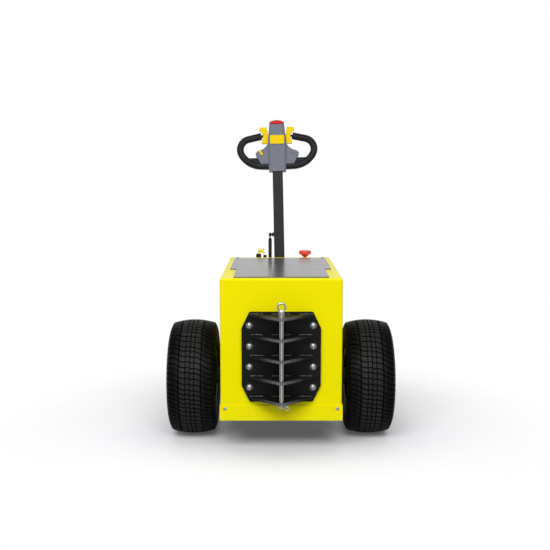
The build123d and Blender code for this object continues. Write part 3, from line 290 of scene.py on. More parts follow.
# Depth of the painted highlight band along the shelves' front rim
HIGHLIGHT_BAND = 7 * MM
MATERIALS = {
    # frame_paint: the black inside the belt is painted shade under the body
    "frame_paint": cover_and_frame("frame_paint", YELLOW, srgb(20, 20, 21), BELT_WALL),
    "shelf_paint": shelf_paint_with_highlight("shelf_paint", srgb(20, 20, 21), srgb(104, 104, 106), HIGHLIGHT_BAND),
    # weld: the pale grey specks are painted glints on the black weld
    "weld": weld_bead("weld", srgb(22, 22, 23), srgb(150, 150, 152)),
    # The tyre's pale middle colour is a painted highlight, and the dark edge colour is the rubber's own
    "tyre": tread_rubber("tyre", srgb(42, 42, 43), srgb(9, 9, 9), rough=0.5, level=0.1),
}
# Colour, roughness, tint spread, grain scale, grain depth, cloud scale, specular level
COATED = {
    "yellow_paint": (YELLOW, 0.3, 0.012, 500.0, 0.02, 5.0, 0.06),
    "black_paint": (srgb(38, 38, 41), 0.5, 0.12, 1500.0, 0.35, 9.0, 0.2),
    "hitch_paint": (srgb(15, 15, 16), 0.42, 0.1, 700.0, 0.12, 9.0, 0.15),
    "strut_paint": (srgb(38, 38, 39), 0.45, 0.06, 700.0, 0.05, 12.0, 0.12),
    "rim_paint": (srgb(15, 15, 16), 0.4, 0.08, 500.0, 0.06, 10.0, 0.12),
    "cast_case": (srgb(60, 62, 65), 0.55, 0.12, 260.0, 0.6, 16.0, 0.3),
    "battery_case": (srgb(34, 35, 39), 0.45, 0.1, 600.0, 0.1, 12.0, 0.3),
    "grey_plastic": (srgb(121, 123, 136), 0.5, 0.03, 1300.0, 0.12, 12.0, 0.15),
    "black_plastic": (srgb(20, 20, 22), 0.3, 0.08, 700.0, 0.05, 20.0, 0.3),
    "pale_plastic": (srgb(226, 225, 218), 0.4, 0.03, 500.0, 0.05, 20.0, 0.3),
    "yellow_plastic": (srgb(250, 213, 0), 0.34, 0.02, 600.0, 0.03, 20.0, 0.05),
    "tag_plastic": (srgb(243, 226, 60), 0.35, 0.02, 600.0, 0.03, 20.0, 0.2),
    "red_plastic": (srgb(232, 76, 70), 0.26, 0.04, 600.0, 0.03, 20.0, 0.4),
    "cap_plastic": (srgb(206, 32, 36), 0.4, 0.03, 600.0, 0.03, 20.0, 0.12),
    "castor_core": (srgb(150, 152, 155), 0.45, 0.06, 500.0, 0.1, 14.0, 0.5),
}
for name, (colour, rough, spread, grain, depth, cloud, level) in COATED.items():
    MATERIALS[name] = painted(name, colour, rough, spread=spread, grain=grain, depth=depth, cloud=cloud,
                              level=level)
MATERIALS["lid_paint"] = painted("lid_paint", srgb(88, 88, 89), 0.24, spread=0.03, grain=900.0, depth=0.001,
                                 cloud=4.0, level=0.7, vary=0.01)
# Colour, roughness, stretch of the drawn lines, tint spread
METALS = {
    "pin_steel": (srgb(204, 204, 206), 0.17, (5, 5, 0.02), 0.12),
    "rod_chrome": (srgb(215, 217, 220), 0.14, (1, 1, 12), 0.04),
    "zinc_steel": (srgb(176, 178, 181), 0.42, (1, 1, 4), 0.12),
    "brass": (srgb(214, 180, 96), 0.3, (6, 6, 1), 0.12),
}
for name, values in METALS.items():
    MATERIALS[name] = brushed(name, *values)
# Colour, roughness, grain scale, grain depth, specular level
RUBBERS = {
    "black_rubber": (srgb(34, 34, 36), 0.5, 900.0, 0.1, 0.18),
    "castor_rubber": (srgb(48, 48, 50), 0.55, 700.0, 0.15, 0.3),
    "tyre_groove": (srgb(6, 6, 6), 0.8, 900.0, 0.12, 0.05),
    "tyre_side": (srgb(8, 8, 8), 0.5, 900.0, 0.06, 0.04),
}
for name, values in RUBBERS.items():
    MATERIALS[name] = rubber(name, *values)

# Nodes that look different from the rest of their slot
OWN_LOOK = {"chassis_frame": "frame_paint", "hitch_shelves": "shelf_paint", "lid_hinges": "zinc_steel",
            "key_tag": "tag_plastic", "belly_button": "cap_plastic"}
for part in frame["record"]["subparts"]:
    mesh = frame["nodes"][part["node"]].data
    mesh.materials.clear()
    mesh.materials.append(MATERIALS[OWN_LOOK.get(part["node"], part["material_slot"])])


# ---------------------------------------------------------------- mesh helpers

MERGE = 1e-6
AXIS_MERGE = 1e-7


def finish_piece(name, bm, slot, body, *nodes, materials=None, smooth=32.0):
    """Turns a bmesh, drawn in the shared frame, into a piece that rides on a body."""
    bmesh.ops.remove_doubles(bm, verts=bm.verts, dist=MERGE)
    bmesh.ops.recalc_face_normals(bm, faces=bm.faces)
    for face in bm.faces:
        face.smooth = True
    for edge in bm.edges:
        edge.smooth = len(edge.link_faces) == 2 and edge.calc_face_angle() < math.radians(smooth)
    mesh = bpy.data.meshes.new(name)
    bm.to_mesh(mesh)
    bm.free()
    for material in materials or [slot]:
        mesh.materials.append(MATERIALS[material])
    obj = bpy.data.objects.new(name, mesh)
    bpy.context.scene.collection.objects.link(obj)
    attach(obj, body)
    if nodes:
        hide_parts(*nodes)


def placed(at, axis):
    """Matrix that stands a shape drawn along Z at a point, along an axis."""
    turn = Vector((0, 0, 1)).rotation_difference(Vector(axis)).to_matrix().to_4x4()
    return Matrix.Translation(at) @ turn


def add_turned(bm, profile, at, axis, steps, factor=1.0, lift=0.0):
    """A body of revolution from (radius, height) points in millimetres about an axis through at."""
    verts = [bm.verts.new((radius * MM * factor, 0, (height + lift) * MM)) for radius, height in profile]
    edges = [bm.edges.new(pair) for pair in zip(verts, verts[1:])]
    before = set(bm.faces)
    bmesh.ops.spin(bm, geom=verts + edges, axis=(0, 0, 1), cent=(0, 0, 0), steps=steps, angle=math.tau,
                   use_merge=True)
    made = [face for face in bm.faces if face not in before]
    points = list({vert for face in made for vert in face.verts} | set(verts))
    bmesh.ops.transform(bm, matrix=placed(at, axis), verts=points)
    bmesh.ops.remove_doubles(bm, verts=points, dist=AXIS_MERGE)


def add_prism(bm, at, axis, radius, depth, sides, bevel, slot=0):
    """A nut or a disc, in millimetres: a cone operator with equal ends and a small bevel."""
    before = set(bm.faces)
    bmesh.ops.create_cone(bm, cap_ends=True, segments=sides, radius1=radius * MM, radius2=radius * MM,
                          depth=depth * MM, matrix=placed(Vector(at) + Vector(axis) * depth * MM / 2, axis))
    made = [face for face in bm.faces if face not in before]
    edges = list({edge for face in made for edge in face.edges})
    bmesh.ops.bevel(bm, geom=edges, offset=bevel * MM, segments=1, affect="EDGES", profile=0.5, material=-1)
    for face in bm.faces:
        if face not in before:
            face.material_index = slot


def add_wire(bm, points, radius, sides=10):
    """A round wire swept along points, closed at both ends."""
    rings = []
    normal = None
    for i, point in enumerate(points):
        ahead = (points[min(i + 1, len(points) - 1)] - points[max(i - 1, 0)]).normalized()
        if normal is None:
            normal = ahead.orthogonal().normalized()
        normal = (normal - ahead * normal.dot(ahead)).normalized()
        across = ahead.cross(normal)
        rings.append([bm.verts.new(point + radius * (math.cos(a) * normal + math.sin(a) * across))
                      for a in (math.tau * k / sides for k in range(sides))])
    for first, second in zip(rings, rings[1:]):
        edges = []
        for ring in (first, second):
            for pair in zip(ring, ring[1:] + ring[:1]):
                edges.append(bm.edges.get(pair) or bm.edges.new(pair))
        bmesh.ops.bridge_loops(bm, edges=edges)
    for ring in (rings[0], rings[-1]):
        bm.faces.new(ring)


# ---------------------------------------------------------------- tyres, sizes in millimetres

PITCHES = (19.0, 22.5, 26.0)
PITCH_SEED = 31
# In each run of pitches the first ones are drawn and the others repeat the last of those
PITCH_RUN, PITCHES_DRAWN = 4, 2
LAST_PITCH_SLACK = 12
LATERAL_GAP = 5.0
BLOCK_DEPTH = 6.5
BLOCK_STEP = 8
# Rise of the lateral grooves at places across the tread
WAVE = ((-92, 1), (-77, 0), (-60, -3.4), (-47, -11.5), (-42, -14.5), (-26, -19.8), (-16, -19.8),
        (-2.2, -18.6), (2.2, -23.4), (17, -22.0), (31, -24.6), (41, -30.0), (46, -31.6), (63, -41.5),
        (76, -45.8), (92, -47.5))
# Middle and width of the grooves round the tread
GROOVES = ((-44.6, 5.4), (-17.4, 3.6), (0.0, 4.0), (17.0, 3.6), (43.5, 5.4))
TREAD_HALF = 84
TREAD_DROP = 13
SHOULDER_IN, SHOULDER_RISE = 7.5, 3
SHOULDER_BLOCKS = 4
SHOULDER_FADE = (1.0, 0.85, 0.6, 0.35, 0.0)
SIDE_IN, SIDE_DROP = 2, 39
BULGE_DROP = 67
SIDE_STEPS = 9
SIDE_RIBS = (3, 7)
RIB_HEIGHT = 1.6
# Places from the middle plane and radii
LIP = (82.5, 118.7)
BEAD = ((82.0, 118.7), (79.5, 104))
TREAD_LOOKS = ["tyre", "tyre_groove", "tyre_side"]
ON_BLOCK, IN_GROOVE, ON_SIDE = range(3)


def wave(x):
    """Rise of the lateral grooves across the tread, in metres."""
    x_mm = x / MM
    for (x0, z0), (x1, z1) in zip(WAVE, WAVE[1:]):
        if x_mm <= x1:
            t = min(1, max(0, (x_mm - x0) / (x1 - x0)))
            return MM * (z0 + (z1 - z0) * t)
    return MM * WAVE[-1][1]


def arc_through(a, b, c, count):
    """Points on the arc from a through b to c, c left out."""
    ax, ay, bx, by, cx, cy = *a, *b, *c
    a2, b2, c2 = ax**2 + ay**2, bx**2 + by**2, cx**2 + cy**2
    d = 2 * (ax * (by - cy) + bx * (cy - ay) + cx * (ay - by))
    ux = (a2 * (by - cy) + b2 * (cy - ay) + c2 * (ay - by)) / d
    uy = (a2 * (cx - bx) + b2 * (ax - cx) + c2 * (bx - ax)) / d
    radius = math.hypot(ax - ux, ay - uy)
    first, last = math.atan2(ay - uy, ax - ux), math.atan2(cy - uy, cx - ux)
    turn = (last - first + math.pi) % math.tau - math.pi
    angles = [first + turn * i / count for i in range(count)]
    return [(ux + radius * math.cos(angle), uy + radius * math.sin(angle)) for angle in angles]


def crown(x, half, r_mid, r_edge):
    """Radius of the tread's top at x, on the arc through both edges and the middle."""
    sag = r_mid - r_edge
    big = (half**2 + sag**2) / (2 * sag)
    return r_mid - big + math.sqrt(big**2 - x**2)


def tyre_section(r, half):
    """Columns of the section from bead to bead: (x, radius, depth of the tread there, block to the next)."""
    edge, r_edge = TREAD_HALF * MM, r - TREAD_DROP * MM
    cuts = [-edge]
    for x, width in GROOVES:
        cuts += [(x - width / 2) * MM, (x + width / 2) * MM]
    cuts.append(edge)
    tread = []
    for i, (x0, x1) in enumerate(zip(cuts, cuts[1:])):
        is_block = i % 2 == 0
        count = max(2, round((x1 - x0) / (BLOCK_STEP * MM))) if is_block else 1
        for k in range(count):
            x = x0 + (x1 - x0) * k / count
            tread.append((x, crown(x, edge, r, r_edge), 1.0, is_block))
    side_top = (half - SIDE_IN * MM, r - SIDE_DROP * MM)
    corner = (half - SHOULDER_IN * MM, (r_edge + side_top[1]) / 2 + SHOULDER_RISE * MM)
    shoulder = arc_through((edge, r_edge), corner, side_top, len(SHOULDER_FADE))
    right = [(*point, SHOULDER_FADE[i], i < SHOULDER_BLOCKS) for i, point in enumerate(shoulder)]
    side = arc_through(side_top, (half, r - BULGE_DROP * MM), (LIP[0] * MM, LIP[1] * MM), SIDE_STEPS)
    for i, (x, radius) in enumerate(side):
        rib = RIB_HEIGHT * MM if i in SIDE_RIBS else 0.0
        right.append((x - RIB_HEIGHT * MM + rib, radius, 0.0, False))
    right += [(x * MM, radius * MM, 0.0, False) for x, radius in BEAD]
    # The left side runs the other way, so each column takes the block flag of the one inside it
    flags = [block for *_, block in right]
    left = [(-x, radius, depth, block)
            for (x, radius, depth, _), block in zip(right[:0:-1], flags[-2::-1])]
    return left + tread + right


def pitch_angles(r):
    """Start of each pitch round the tyre, from a seeded run of three pitch lengths."""
    rng = random.Random(PITCH_SEED)
    lengths, total = [], 0.0
    while total < math.tau * r / MM - LAST_PITCH_SLACK:
        is_drawn = len(lengths) % PITCH_RUN < PITCHES_DRAWN
        length = rng.choice(PITCHES) if is_drawn else lengths[-1]
        lengths.append(length)
        total += length
    starts, at = [], 0.0
    for length in lengths:
        starts.append(math.tau * at / total)
        at += length
    return starts


def treaded_tyre(node, body, joint):
    """A ring grid with its block faces raised between wavy lateral grooves."""
    centre = Vector(JOINTS[joint]["pos_m"])
    lo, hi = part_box(node)
    r = centre.z - max(lo.z, 0.0)
    columns = tyre_section(r, (hi.x - lo.x) / 2)
    count = len(columns)
    starts = pitch_angles(r)
    gap = LATERAL_GAP * MM / r
    # Three rows to a pitch: the lateral groove, then two of block
    rows = []
    for start, end in zip(starts, starts[1:] + [math.tau]):
        rows += [(start, False), (start + gap, True), ((start + gap + end) / 2, True)]

    def spot(column, angle, raised):
        x, radius, depth, _ = columns[column]
        before, after = columns[max(column - 1, 0)], columns[min(column + 1, count - 1)]
        along = Vector((after[0] - before[0], after[1] - before[1])).normalized()
        sunk = 0.0 if raised else BLOCK_DEPTH * MM * depth
        px, pr = x + along.y * sunk, radius - along.x * sunk
        turn = angle + wave(x) / r
        return Vector((centre.x + px, centre.y - pr * math.cos(turn), centre.z + pr * math.sin(turn)))

    bm = bmesh.new()
    bmesh.ops.create_grid(bm, x_segments=count - 1, y_segments=len(rows), size=1.0)
    col = bm.verts.layers.int.new("col")
    row = bm.verts.layers.int.new("row")
    for vert in bm.verts:
        vert[col] = round((vert.co.x + 1) / 2 * (count - 1))
        vert[row] = round((vert.co.y + 1) / 2 * len(rows))
    blocks = []
    for face in bm.faces:
        c0, r0 = min(v[col] for v in face.verts), min(v[row] for v in face.verts)
        if columns[c0][3] and rows[r0][1]:
            blocks.append(face)
    grown = bmesh.ops.extrude_face_region(bm, geom=blocks)["geom"]
    tops = {vert for vert in grown if isinstance(vert, bmesh.types.BMVert)}
    raised = {face for face in grown if isinstance(face, bmesh.types.BMFace)}
    bmesh.ops.delete(bm, geom=blocks, context="FACES_KEEP_BOUNDARY")
    for face in bm.faces:
        shallowest = min(columns[vert[col]][2] for vert in face.verts)
        sunk = IN_GROOVE if shallowest > 0 else ON_SIDE
        face.material_index = ON_BLOCK if face in raised else sunk
    for vert in bm.verts:
        angle = math.tau if vert[row] == len(rows) else rows[vert[row]][0]
        vert.co = spot(vert[col], angle, vert in tops)
    bmesh.ops.remove_doubles(bm, verts=bm.verts, dist=MERGE)
    # Closes the ring between the beads, on the rim
    bmesh.ops.bridge_loops(bm, edges=[edge for edge in bm.edges if len(edge.link_faces) == 1])
    finish_piece(node + "_tread", bm, "tyre", body, node, materials=TREAD_LOOKS, smooth=38.0)


treaded_tyre("tyre_left", "wheel_left", "wheel_left_spin")
treaded_tyre("tyre_right", "wheel_right", "wheel_right_spin")


# ---------------------------------------------------------------- hitch

# Turned profiles hold (radius, height) points in millimetres
DOME = [(0, 7.0), (4.0, 6.6), (8.0, 5.2), (10.9, 3.1), (12.0, 1.0), (12.0, 0.0)]
WASHER = [(6.0, 0.0), (6.0, 1.0), (12.6, 1.0), (12.9, 0.7), (12.9, 0.0)]
WASHER_THICK = 1.0
BOLT_X = 120.5
SHELF_COUNT = 5
SHELF_THICK = 8 * MM
WELD_RUNS = ((-118, -68), (-36, 36), (68, 118))
WELD_STEP = 3.2
WELD_RADIUS = 2.2
WELD_OUT = 0.6
WELD_SEED = 5
RIPPLE_LENGTH, RIPPLE_HEIGHT, RIPPLE_JITTER = 6.4, 0.35, 0.15
CLIP_WIRE = 1.5
CLIP_LEG = (-13.5, -9, 0, 9, 16)
COIL_X, COIL_RADIUS, COIL_RISE = 20, 7, 3.5
COIL_ANGLES = range(0, 600, 24)

plate_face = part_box("hitch_plate")[0].y
hitch_x = mid("hitch_plate").x
shelf_lo, shelf_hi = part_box("hitch_shelves")
shelf_pitch = (shelf_hi.z - shelf_lo.z - SHELF_THICK) / (SHELF_COUNT - 1)
shelf_tops = [shelf_lo.z + SHELF_THICK + i * shelf_pitch for i in range(SHELF_COUNT)]

bm = bmesh.new()
for lower, upper in zip(shelf_tops, shelf_tops[1:]):
    z = (lower + upper - SHELF_THICK) / 2
    for x in (-BOLT_X, BOLT_X):
        at = Vector((hitch_x + x * MM, plate_face, z))
        add_turned(bm, WASHER, at, (0, -1, 0), steps=28)
        add_turned(bm, DOME, at, (0, -1, 0), steps=28, lift=WASHER_THICK)
finish_piece("hitch_bolts", bm, "zinc_steel", "machine")

bm = bmesh.new()
rng = random.Random(WELD_SEED)
for top in shelf_tops:
    for x0, x1 in WELD_RUNS:
        count = int((x1 - x0) / WELD_STEP)
        points = []
        for k in range(count + 1):
            x = x0 + (x1 - x0) * k / count
            points.append(Vector((hitch_x + x * MM, plate_face - WELD_OUT * MM, top + WELD_OUT * MM)))
        before = set(bm.verts)
        add_wire(bm, points, WELD_RADIUS * MM, sides=8)
        for vert in bm.verts:
            if vert not in before:
                ripple = math.sin((vert.co.x - hitch_x) / MM * math.tau / RIPPLE_LENGTH)
                jitter = rng.uniform(-RIPPLE_JITTER, RIPPLE_JITTER)
                vert.co.z += RIPPLE_HEIGHT * MM * ripple + jitter * MM
finish_piece("hitch_welds", bm, "hitch_paint", "machine", materials=["weld"], smooth=60.0)

clip_at = Vector(MOUNTS["pin_clip_hole"]["pos_m"])
clip_line = [clip_at + Vector((x * MM, 0, 0)) for x in CLIP_LEG]
for degrees in COIL_ANGLES:
    a = math.radians(degrees)
    x, z = COIL_X + COIL_RADIUS * math.sin(a), -COIL_RADIUS + COIL_RADIUS * math.cos(a)
    clip_line.append(clip_at + Vector((x * MM, COIL_RISE * MM * a / math.tau, z * MM)))
bm = bmesh.new()
add_wire(bm, clip_line, CLIP_WIRE * MM)
finish_piece("pin_clip", bm, "rod_chrome", "hitch_pin", smooth=60.0)

# ---------------------------------------------------------------- screws on the apron

PAN_HEAD = [(0, 3.4), (4.2, 3.1), (6.0, 2.0), (6.6, 0.6), (6.6, 0.0)]
APRON_SCREW_X = 215
APRON_SCREW_RISE = 47

apron_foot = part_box("chassis_frame")[0]
bm = bmesh.new()
for x in (-APRON_SCREW_X, APRON_SCREW_X):
    at = Vector((x * MM, apron_foot.y, apron_foot.z + APRON_SCREW_RISE * MM))
    add_turned(bm, PAN_HEAD, at, (0, -1, 0), steps=20)
finish_piece("apron_screws", bm, "zinc_steel", "machine")

# ---------------------------------------------------------------- wheels

NUTS = 5
NUT_TURN = 0.25
NUT_CIRCLE = 37 * MM
DISC_FACE = 25 * MM
HEX_WASHER = [(0.0, 0.0), (11.5, 0.0), (11.5, 1.2), (11.0, 1.6), (0.0, 1.6)]
WHEEL_NUT = {"radius": 9.5, "depth": 12, "sides": 6, "bevel": 1.0}
STUD_END = {"radius": 4.5, "depth": 17, "sides": 12, "bevel": 0.6}
VALVE_CIRCLE = 84 * MM
VALVE_FACE = 33 * MM
VALVE_ANGLE = 0.9
VALVE_STEM = {"radius": 5.0, "depth": 16, "sides": 14, "bevel": 0.8}
VALVE_CAP = {"radius": 3.6, "depth": 9, "sides": 12, "bevel": 0.6}


def wheel_spot(joint, out, radius, angle):
    """A point on a wheel: distance out from its middle plane, radius and angle."""
    centre = Vector(JOINTS[joint]["pos_m"])
    sign = math.copysign(1, centre.x)
    return centre + Vector((sign * out, radius * math.cos(angle), radius * math.sin(angle)))


for hand, sign in (("left", -1), ("right", 1)):
    joint, body, out = f"wheel_{hand}_spin", f"wheel_{hand}", (sign, 0, 0)
    bm = bmesh.new()
    for i in range(NUTS):
        at = wheel_spot(joint, DISC_FACE, NUT_CIRCLE, math.tau * (i + NUT_TURN) / NUTS)
        add_turned(bm, HEX_WASHER, at, out, steps=20)
        add_prism(bm, at, out, **WHEEL_NUT)
        add_prism(bm, at, out, **STUD_END)
    finish_piece(f"wheel_nuts_{hand}", bm, "zinc_steel", body)
    bm = bmesh.new()
    at = wheel_spot(joint, VALVE_FACE, VALVE_CIRCLE, VALVE_ANGLE)
    add_prism(bm, at, out, **VALVE_STEM)
    add_prism(bm, at + Vector(out) * VALVE_STEM["depth"] * MM, out, **VALVE_CAP, slot=1)
    finish_piece(f"valve_{hand}", bm, "black_rubber", body, materials=["black_rubber", "black_plastic"])

# ---------------------------------------------------------------- castor and tiller bracket

CASTOR_PLATE_THICK = 6 * MM
CASTOR_BOLT_INSET = 12 * MM
CASTOR_BOLT = {"radius": 7.5, "depth": 5, "sides": 6, "bevel": 0.8}
CASTOR_NUT = {"radius": 11, "depth": 6, "sides": 6, "bevel": 1}
BRACKET_THICK = 8 * MM
BRACKET_BOLT_SIDE, BRACKET_BOLT_END = 7.5 * MM, 14 * MM
BRACKET_BOLT = {"radius": 6.5, "depth": 5, "sides": 6, "bevel": 0.7}
PIN_CLIP = [(10.3, 0.0), (16.0, 0.0), (16.0, 1.4), (10.3, 1.4), (10.3, 0.0)]
PIN_CLIP_INSET = 3.7 * MM

plate_lo, plate_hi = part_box("castor_plate")
under = plate_hi.z - CASTOR_PLATE_THICK
bm = bmesh.new()
for x in (plate_lo.x + CASTOR_BOLT_INSET, plate_hi.x - CASTOR_BOLT_INSET):
    for y in (plate_lo.y + CASTOR_BOLT_INSET, plate_hi.y - CASTOR_BOLT_INSET):
        add_prism(bm, (x, y, under), (0, 0, -1), **CASTOR_BOLT)
finish_piece("castor_bolts", bm, "zinc_steel", "machine")

axle_lo, axle_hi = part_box("castor_axle")
axle_mid = mid("castor_axle")
bm = bmesh.new()
for x, sign in ((axle_lo.x, -1), (axle_hi.x, 1)):
    add_prism(bm, (x, axle_mid.y, axle_mid.z), (sign, 0, 0), **CASTOR_NUT)
finish_piece("castor_nuts", bm, "zinc_steel", "castor_fork")

bracket_lo, bracket_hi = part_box("tiller_bracket")
bracket_face = bracket_lo.y + BRACKET_THICK
bm = bmesh.new()
for x in (bracket_lo.x + BRACKET_BOLT_SIDE, bracket_hi.x - BRACKET_BOLT_SIDE):
    for z in (bracket_lo.z + BRACKET_BOLT_END, mid("tiller_bracket").z, bracket_hi.z - BRACKET_BOLT_END):
        add_prism(bm, (x, bracket_face, z), (0, 1, 0), **BRACKET_BOLT)
finish_piece("bracket_bolts", bm, "zinc_steel", "machine")

hinge = Vector(JOINTS["tiller_hinge"]["pos_m"])
ear_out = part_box("tiller_pin")[1].x - PIN_CLIP_INSET
bm = bmesh.new()
for sign in (-1, 1):
    add_turned(bm, PIN_CLIP, hinge + Vector((sign * ear_out, 0, 0)), (sign, 0, 0), steps=28)
finish_piece("tiller_pin_clips", bm, "zinc_steel", "machine")

# ---------------------------------------------------------------- rear console

CONSOLE_SCREW_X = (78, 205)
CONSOLE_SCREW_INSET = 15 * MM
CONSOLE_SCREW_SIZE = 0.7
KEY_FACE = {"radius": 8.0, "depth": 1.2, "sides": 24, "bevel": 0.3}
KEY_RING_RADIUS, KEY_RING_WIRE, KEY_RING_SIDES = 7.0, 0.9, 10
KEY_RING_ASIDE, KEY_RING_RISE = 6 * MM, 1 * MM
KEY_RING_AXIS = (0.35, 0.15, 1)
KNOB_RING = [(8.3, 0.0), (11.5, 0.0), (11.5, 1.6), (10.9, 2.2), (8.3, 2.2), (8.3, 0.0)]

console_lo, console_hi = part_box("rear_console")
bm = bmesh.new()
for x in CONSOLE_SCREW_X:
    for z in (console_lo.z + CONSOLE_SCREW_INSET, console_hi.z - CONSOLE_SCREW_INSET):
        for sign in (-1, 1):
            at = Vector((sign * x * MM, console_hi.y, z))
            add_turned(bm, PAN_HEAD, at, (0, 1, 0), steps=18, factor=CONSOLE_SCREW_SIZE)
finish_piece("console_screws", bm, "zinc_steel", "machine")

key_mid, tag_mid = mid("key_switch"), mid("key_tag")
bm = bmesh.new()
add_prism(bm, (key_mid.x, key_mid.y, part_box("key_switch")[1].z), (0, 0, 1), **KEY_FACE)
finish_piece("key_face", bm, "zinc_steel", "machine", materials=["brass"])

ring_at = Vector((key_mid.x + KEY_RING_ASIDE, tag_mid.y, tag_mid.z + KEY_RING_RISE))
bm = bmesh.new()
loop = [(KEY_RING_RADIUS + KEY_RING_WIRE * math.cos(a), KEY_RING_WIRE * math.sin(a))
        for a in (math.tau * k / KEY_RING_SIDES for k in range(KEY_RING_SIDES + 1))]
add_turned(bm, loop, ring_at, KEY_RING_AXIS, steps=30)
finish_piece("key_ring", bm, "rod_chrome", "machine", smooth=60.0)

knob_mid = mid("indicator_knob")
knob_foot = Vector((knob_mid.x, knob_mid.y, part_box("indicator_knob")[0].z))
bm = bmesh.new()
add_turned(bm, KNOB_RING, knob_foot, (0, 0, 1), steps=28)
finish_piece("knob_ring", bm, "grey_plastic", "machine", materials=["pale_plastic"])

# ---------------------------------------------------------------- tiller head, places in millimetres

HEAD_BASE = 483
HOUSING_BACK = 31
HEAD_SCREW_X = 24
HEAD_SCREW_HEIGHTS = (22, 105, 188)
HEAD_SCREW_SIZE, HEAD_SCREW_LIFT = 0.6, -0.8
BOSS_X, BOSS_HEIGHT = 40.0, 169.6
PADDLE_BOSS = {"radius": 13, "depth": 1.0, "sides": 32, "bevel": 0.2}

up = (mid("belly_button") - hinge).normalized()
across = Vector((0, 1, 0)).cross(up).normalized()
back = up.cross(across)


def head_spot(x, y, height):
    """A point on the tiller head: across, towards the back, above the housing's foot."""
    return hinge + MM * (x * across + y * back + (HEAD_BASE + height) * up)


bm = bmesh.new()
for x in (-HEAD_SCREW_X, HEAD_SCREW_X):
    for height in HEAD_SCREW_HEIGHTS:
        add_turned(bm, PAN_HEAD, head_spot(x, HOUSING_BACK, height), back, steps=18,
                   factor=HEAD_SCREW_SIZE, lift=HEAD_SCREW_LIFT)
finish_piece("head_screws", bm, "zinc_steel", "tiller")

bm = bmesh.new()
for sign in (-1, 1):
    add_prism(bm, head_spot(sign * BOSS_X, 0, BOSS_HEIGHT), sign * across, **PADDLE_BOSS)
finish_piece("paddle_bosses", bm, "yellow_plastic", "tiller")

# ---------------------------------------------------------------- batteries under the lid

POST = [(0.0, 15.0), (7.4, 15.0), (8.6, 0.0), (11.5, 0.0), (11.5, -0.4), (0.0, -0.4)]
POST_END, POST_SIDE = 28 * MM, 45 * MM
CAPS = 6
CAP_SIDE = 30 * MM
FILLER_CAP = {"radius": 13, "depth": 6, "sides": 28, "bevel": 1.2}

for hand in ("left", "right"):
    lo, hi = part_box("battery_" + hand)
    centre = (lo + hi) / 2
    bm = bmesh.new()
    for y in (lo.y + POST_END, hi.y - POST_END):
        add_turned(bm, POST, Vector((centre.x - POST_SIDE, y, hi.z)), (0, 0, 1), steps=24)
    finish_piece(f"battery_posts_{hand}", bm, "zinc_steel", "machine")
    bm = bmesh.new()
    for i in range(CAPS):
        at = (centre.x + CAP_SIDE, lo.y + (i + 0.5) * (hi.y - lo.y) / CAPS, hi.z)
        add_prism(bm, at, (0, 0, 1), **FILLER_CAP)
    finish_piece(f"battery_caps_{hand}", bm, "black_plastic", "machine")

# ---------------------------------------------------------------- camera and floor, in metres

CAMERA_X, CAMERA_Z = -0.027, 1.088
CAMERA_AHEAD = 3.0
CAMERA_TILT, CAMERA_TURN = 7.41, -0.064
# Width of the sensor and focal length, in millimetres
SENSOR_WIDTH, LENS = 36, 52.887
FLOOR_RADIUS = 2.2
FLOOR_BOUNCE = (0.6, 0.6, 0.62, 1)
FLOOR_DARK, FLOOR_PALE = (0.95, 0.955, 0.98), (0.97, 0.975, 1.0)
FLOOR_GLOW = 0.06
FADE_START, FADE_END = 0.5, 1.3
WHITE = (1, 1, 1, 1)

camera = bpy.data.objects.new("camera", bpy.data.cameras.new("camera"))
camera.location = (CAMERA_X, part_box("body_cover")[0].y - CAMERA_AHEAD, CAMERA_Z)
camera.rotation_euler = (math.radians(90 - CAMERA_TILT), 0, math.radians(CAMERA_TURN))
camera.data.sensor_width = SENSOR_WIDTH
camera.data.lens = LENS
bpy.context.scene.collection.objects.link(camera)
bpy.context.scene.camera = camera

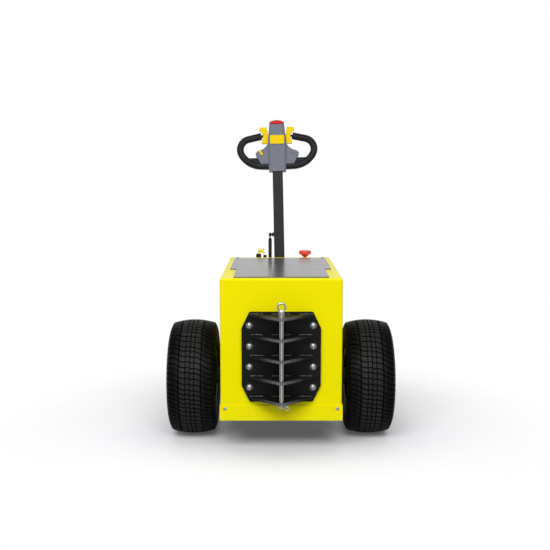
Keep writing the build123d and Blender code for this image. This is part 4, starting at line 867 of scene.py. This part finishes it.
floor_mesh = bpy.data.meshes.new("floor")
bm = bmesh.new()
bmesh.ops.create_circle(bm, cap_ends=True, segments=96, radius=FLOOR_RADIUS)
bm.to_mesh(floor_mesh)
bm.free()
floor = bpy.data.objects.new("floor", floor_mesh)
bpy.context.scene.collection.objects.link(floor)
s = Shader("floor_white")
seen = s.node("LightPath").outputs["Is Camera Ray"]
s.tint(s.mix(seen, FLOOR_BOUNCE, s.ramp(s.noise(0.6), NOISE_LOW, FLOOR_DARK, NOISE_HIGH, FLOOR_PALE)))
s.link(s.maths("MULTIPLY", seen, FLOOR_GLOW), s.bsdf.inputs["Emission Strength"])
s.constant(Emission_Color=WHITE, Roughness=0.9, Specular_IOR_Level=0.0)
away = s.node("VectorMath", operation="LENGTH")
s.link(s.coord, away.inputs[0])
s.link(s.span(away.outputs["Value"], FADE_START, FADE_END, 1.0, 0.0, interpolation_type="SMOOTHSTEP"),
       s.bsdf.inputs["Alpha"])
floor_mesh.materials.append(s.mat)

# ---------------------------------------------------------------- room and lights

# Along one axis of the view direction: start and end of a smooth step, brightness before and after it
FRONT_STEP = ("Y", -0.95, -0.75, 0.75, 0.2)
BACK_STEP = ("Y", -0.2, 0.6, 0.0, 0.8)
UPPER_STEP = ("Z", 0.35, 0.75, 1.0, 0.12)
ROOM_FILL = 0.35

world = bpy.data.worlds.new("studio")
bpy.context.scene.world = world
world.use_nodes = True
room = Graph(world.node_tree)
rays = room.node("LightPath").outputs
axes = room.axes(room.node("TexCoord").outputs["Generated"])


def room_step(axis, *values):
    return room.span(axes[axis], *values, interpolation_type="SMOOTHSTEP")


reflected = room.maths("MULTIPLY_ADD", room_step(*BACK_STEP), room_step(*UPPER_STEP), room_step(*FRONT_STEP))
level = room.choose(rays["Is Glossy Ray"], ROOM_FILL, reflected)
level = room.choose(rays["Is Transmission Ray"], level, 1.0)
level = room.choose(rays["Is Camera Ray"], level, 1.0)
background = room.tree.nodes["Background"]
room.link(level, background.inputs["Strength"])
background.inputs["Color"].default_value = WHITE


def soft_light(name, at, aim, size, power):
    lamp = bpy.data.lights.new(name, "AREA")
    lamp.shape = "RECTANGLE"
    lamp.size, lamp.size_y = size
    lamp.energy = power
    obj = bpy.data.objects.new(name, lamp)
    obj.location = at
    obj.rotation_euler = (Vector(aim) - Vector(at)).to_track_quat("-Z", "Y").to_euler()
    bpy.context.scene.collection.objects.link(obj)
    return obj


soft_light("front", at=(-0.3, -3.5, 3.0), aim=(0, -0.3, 0.4), size=(4.0, 1.6), power=137)
top_light = soft_light("top", at=(0, 0, 8.0), aim=(0, 0, 0), size=(8.0, 8.0), power=150)
top_light.visible_glossy = False

bpy.context.scene.view_settings.view_transform = "Standard"
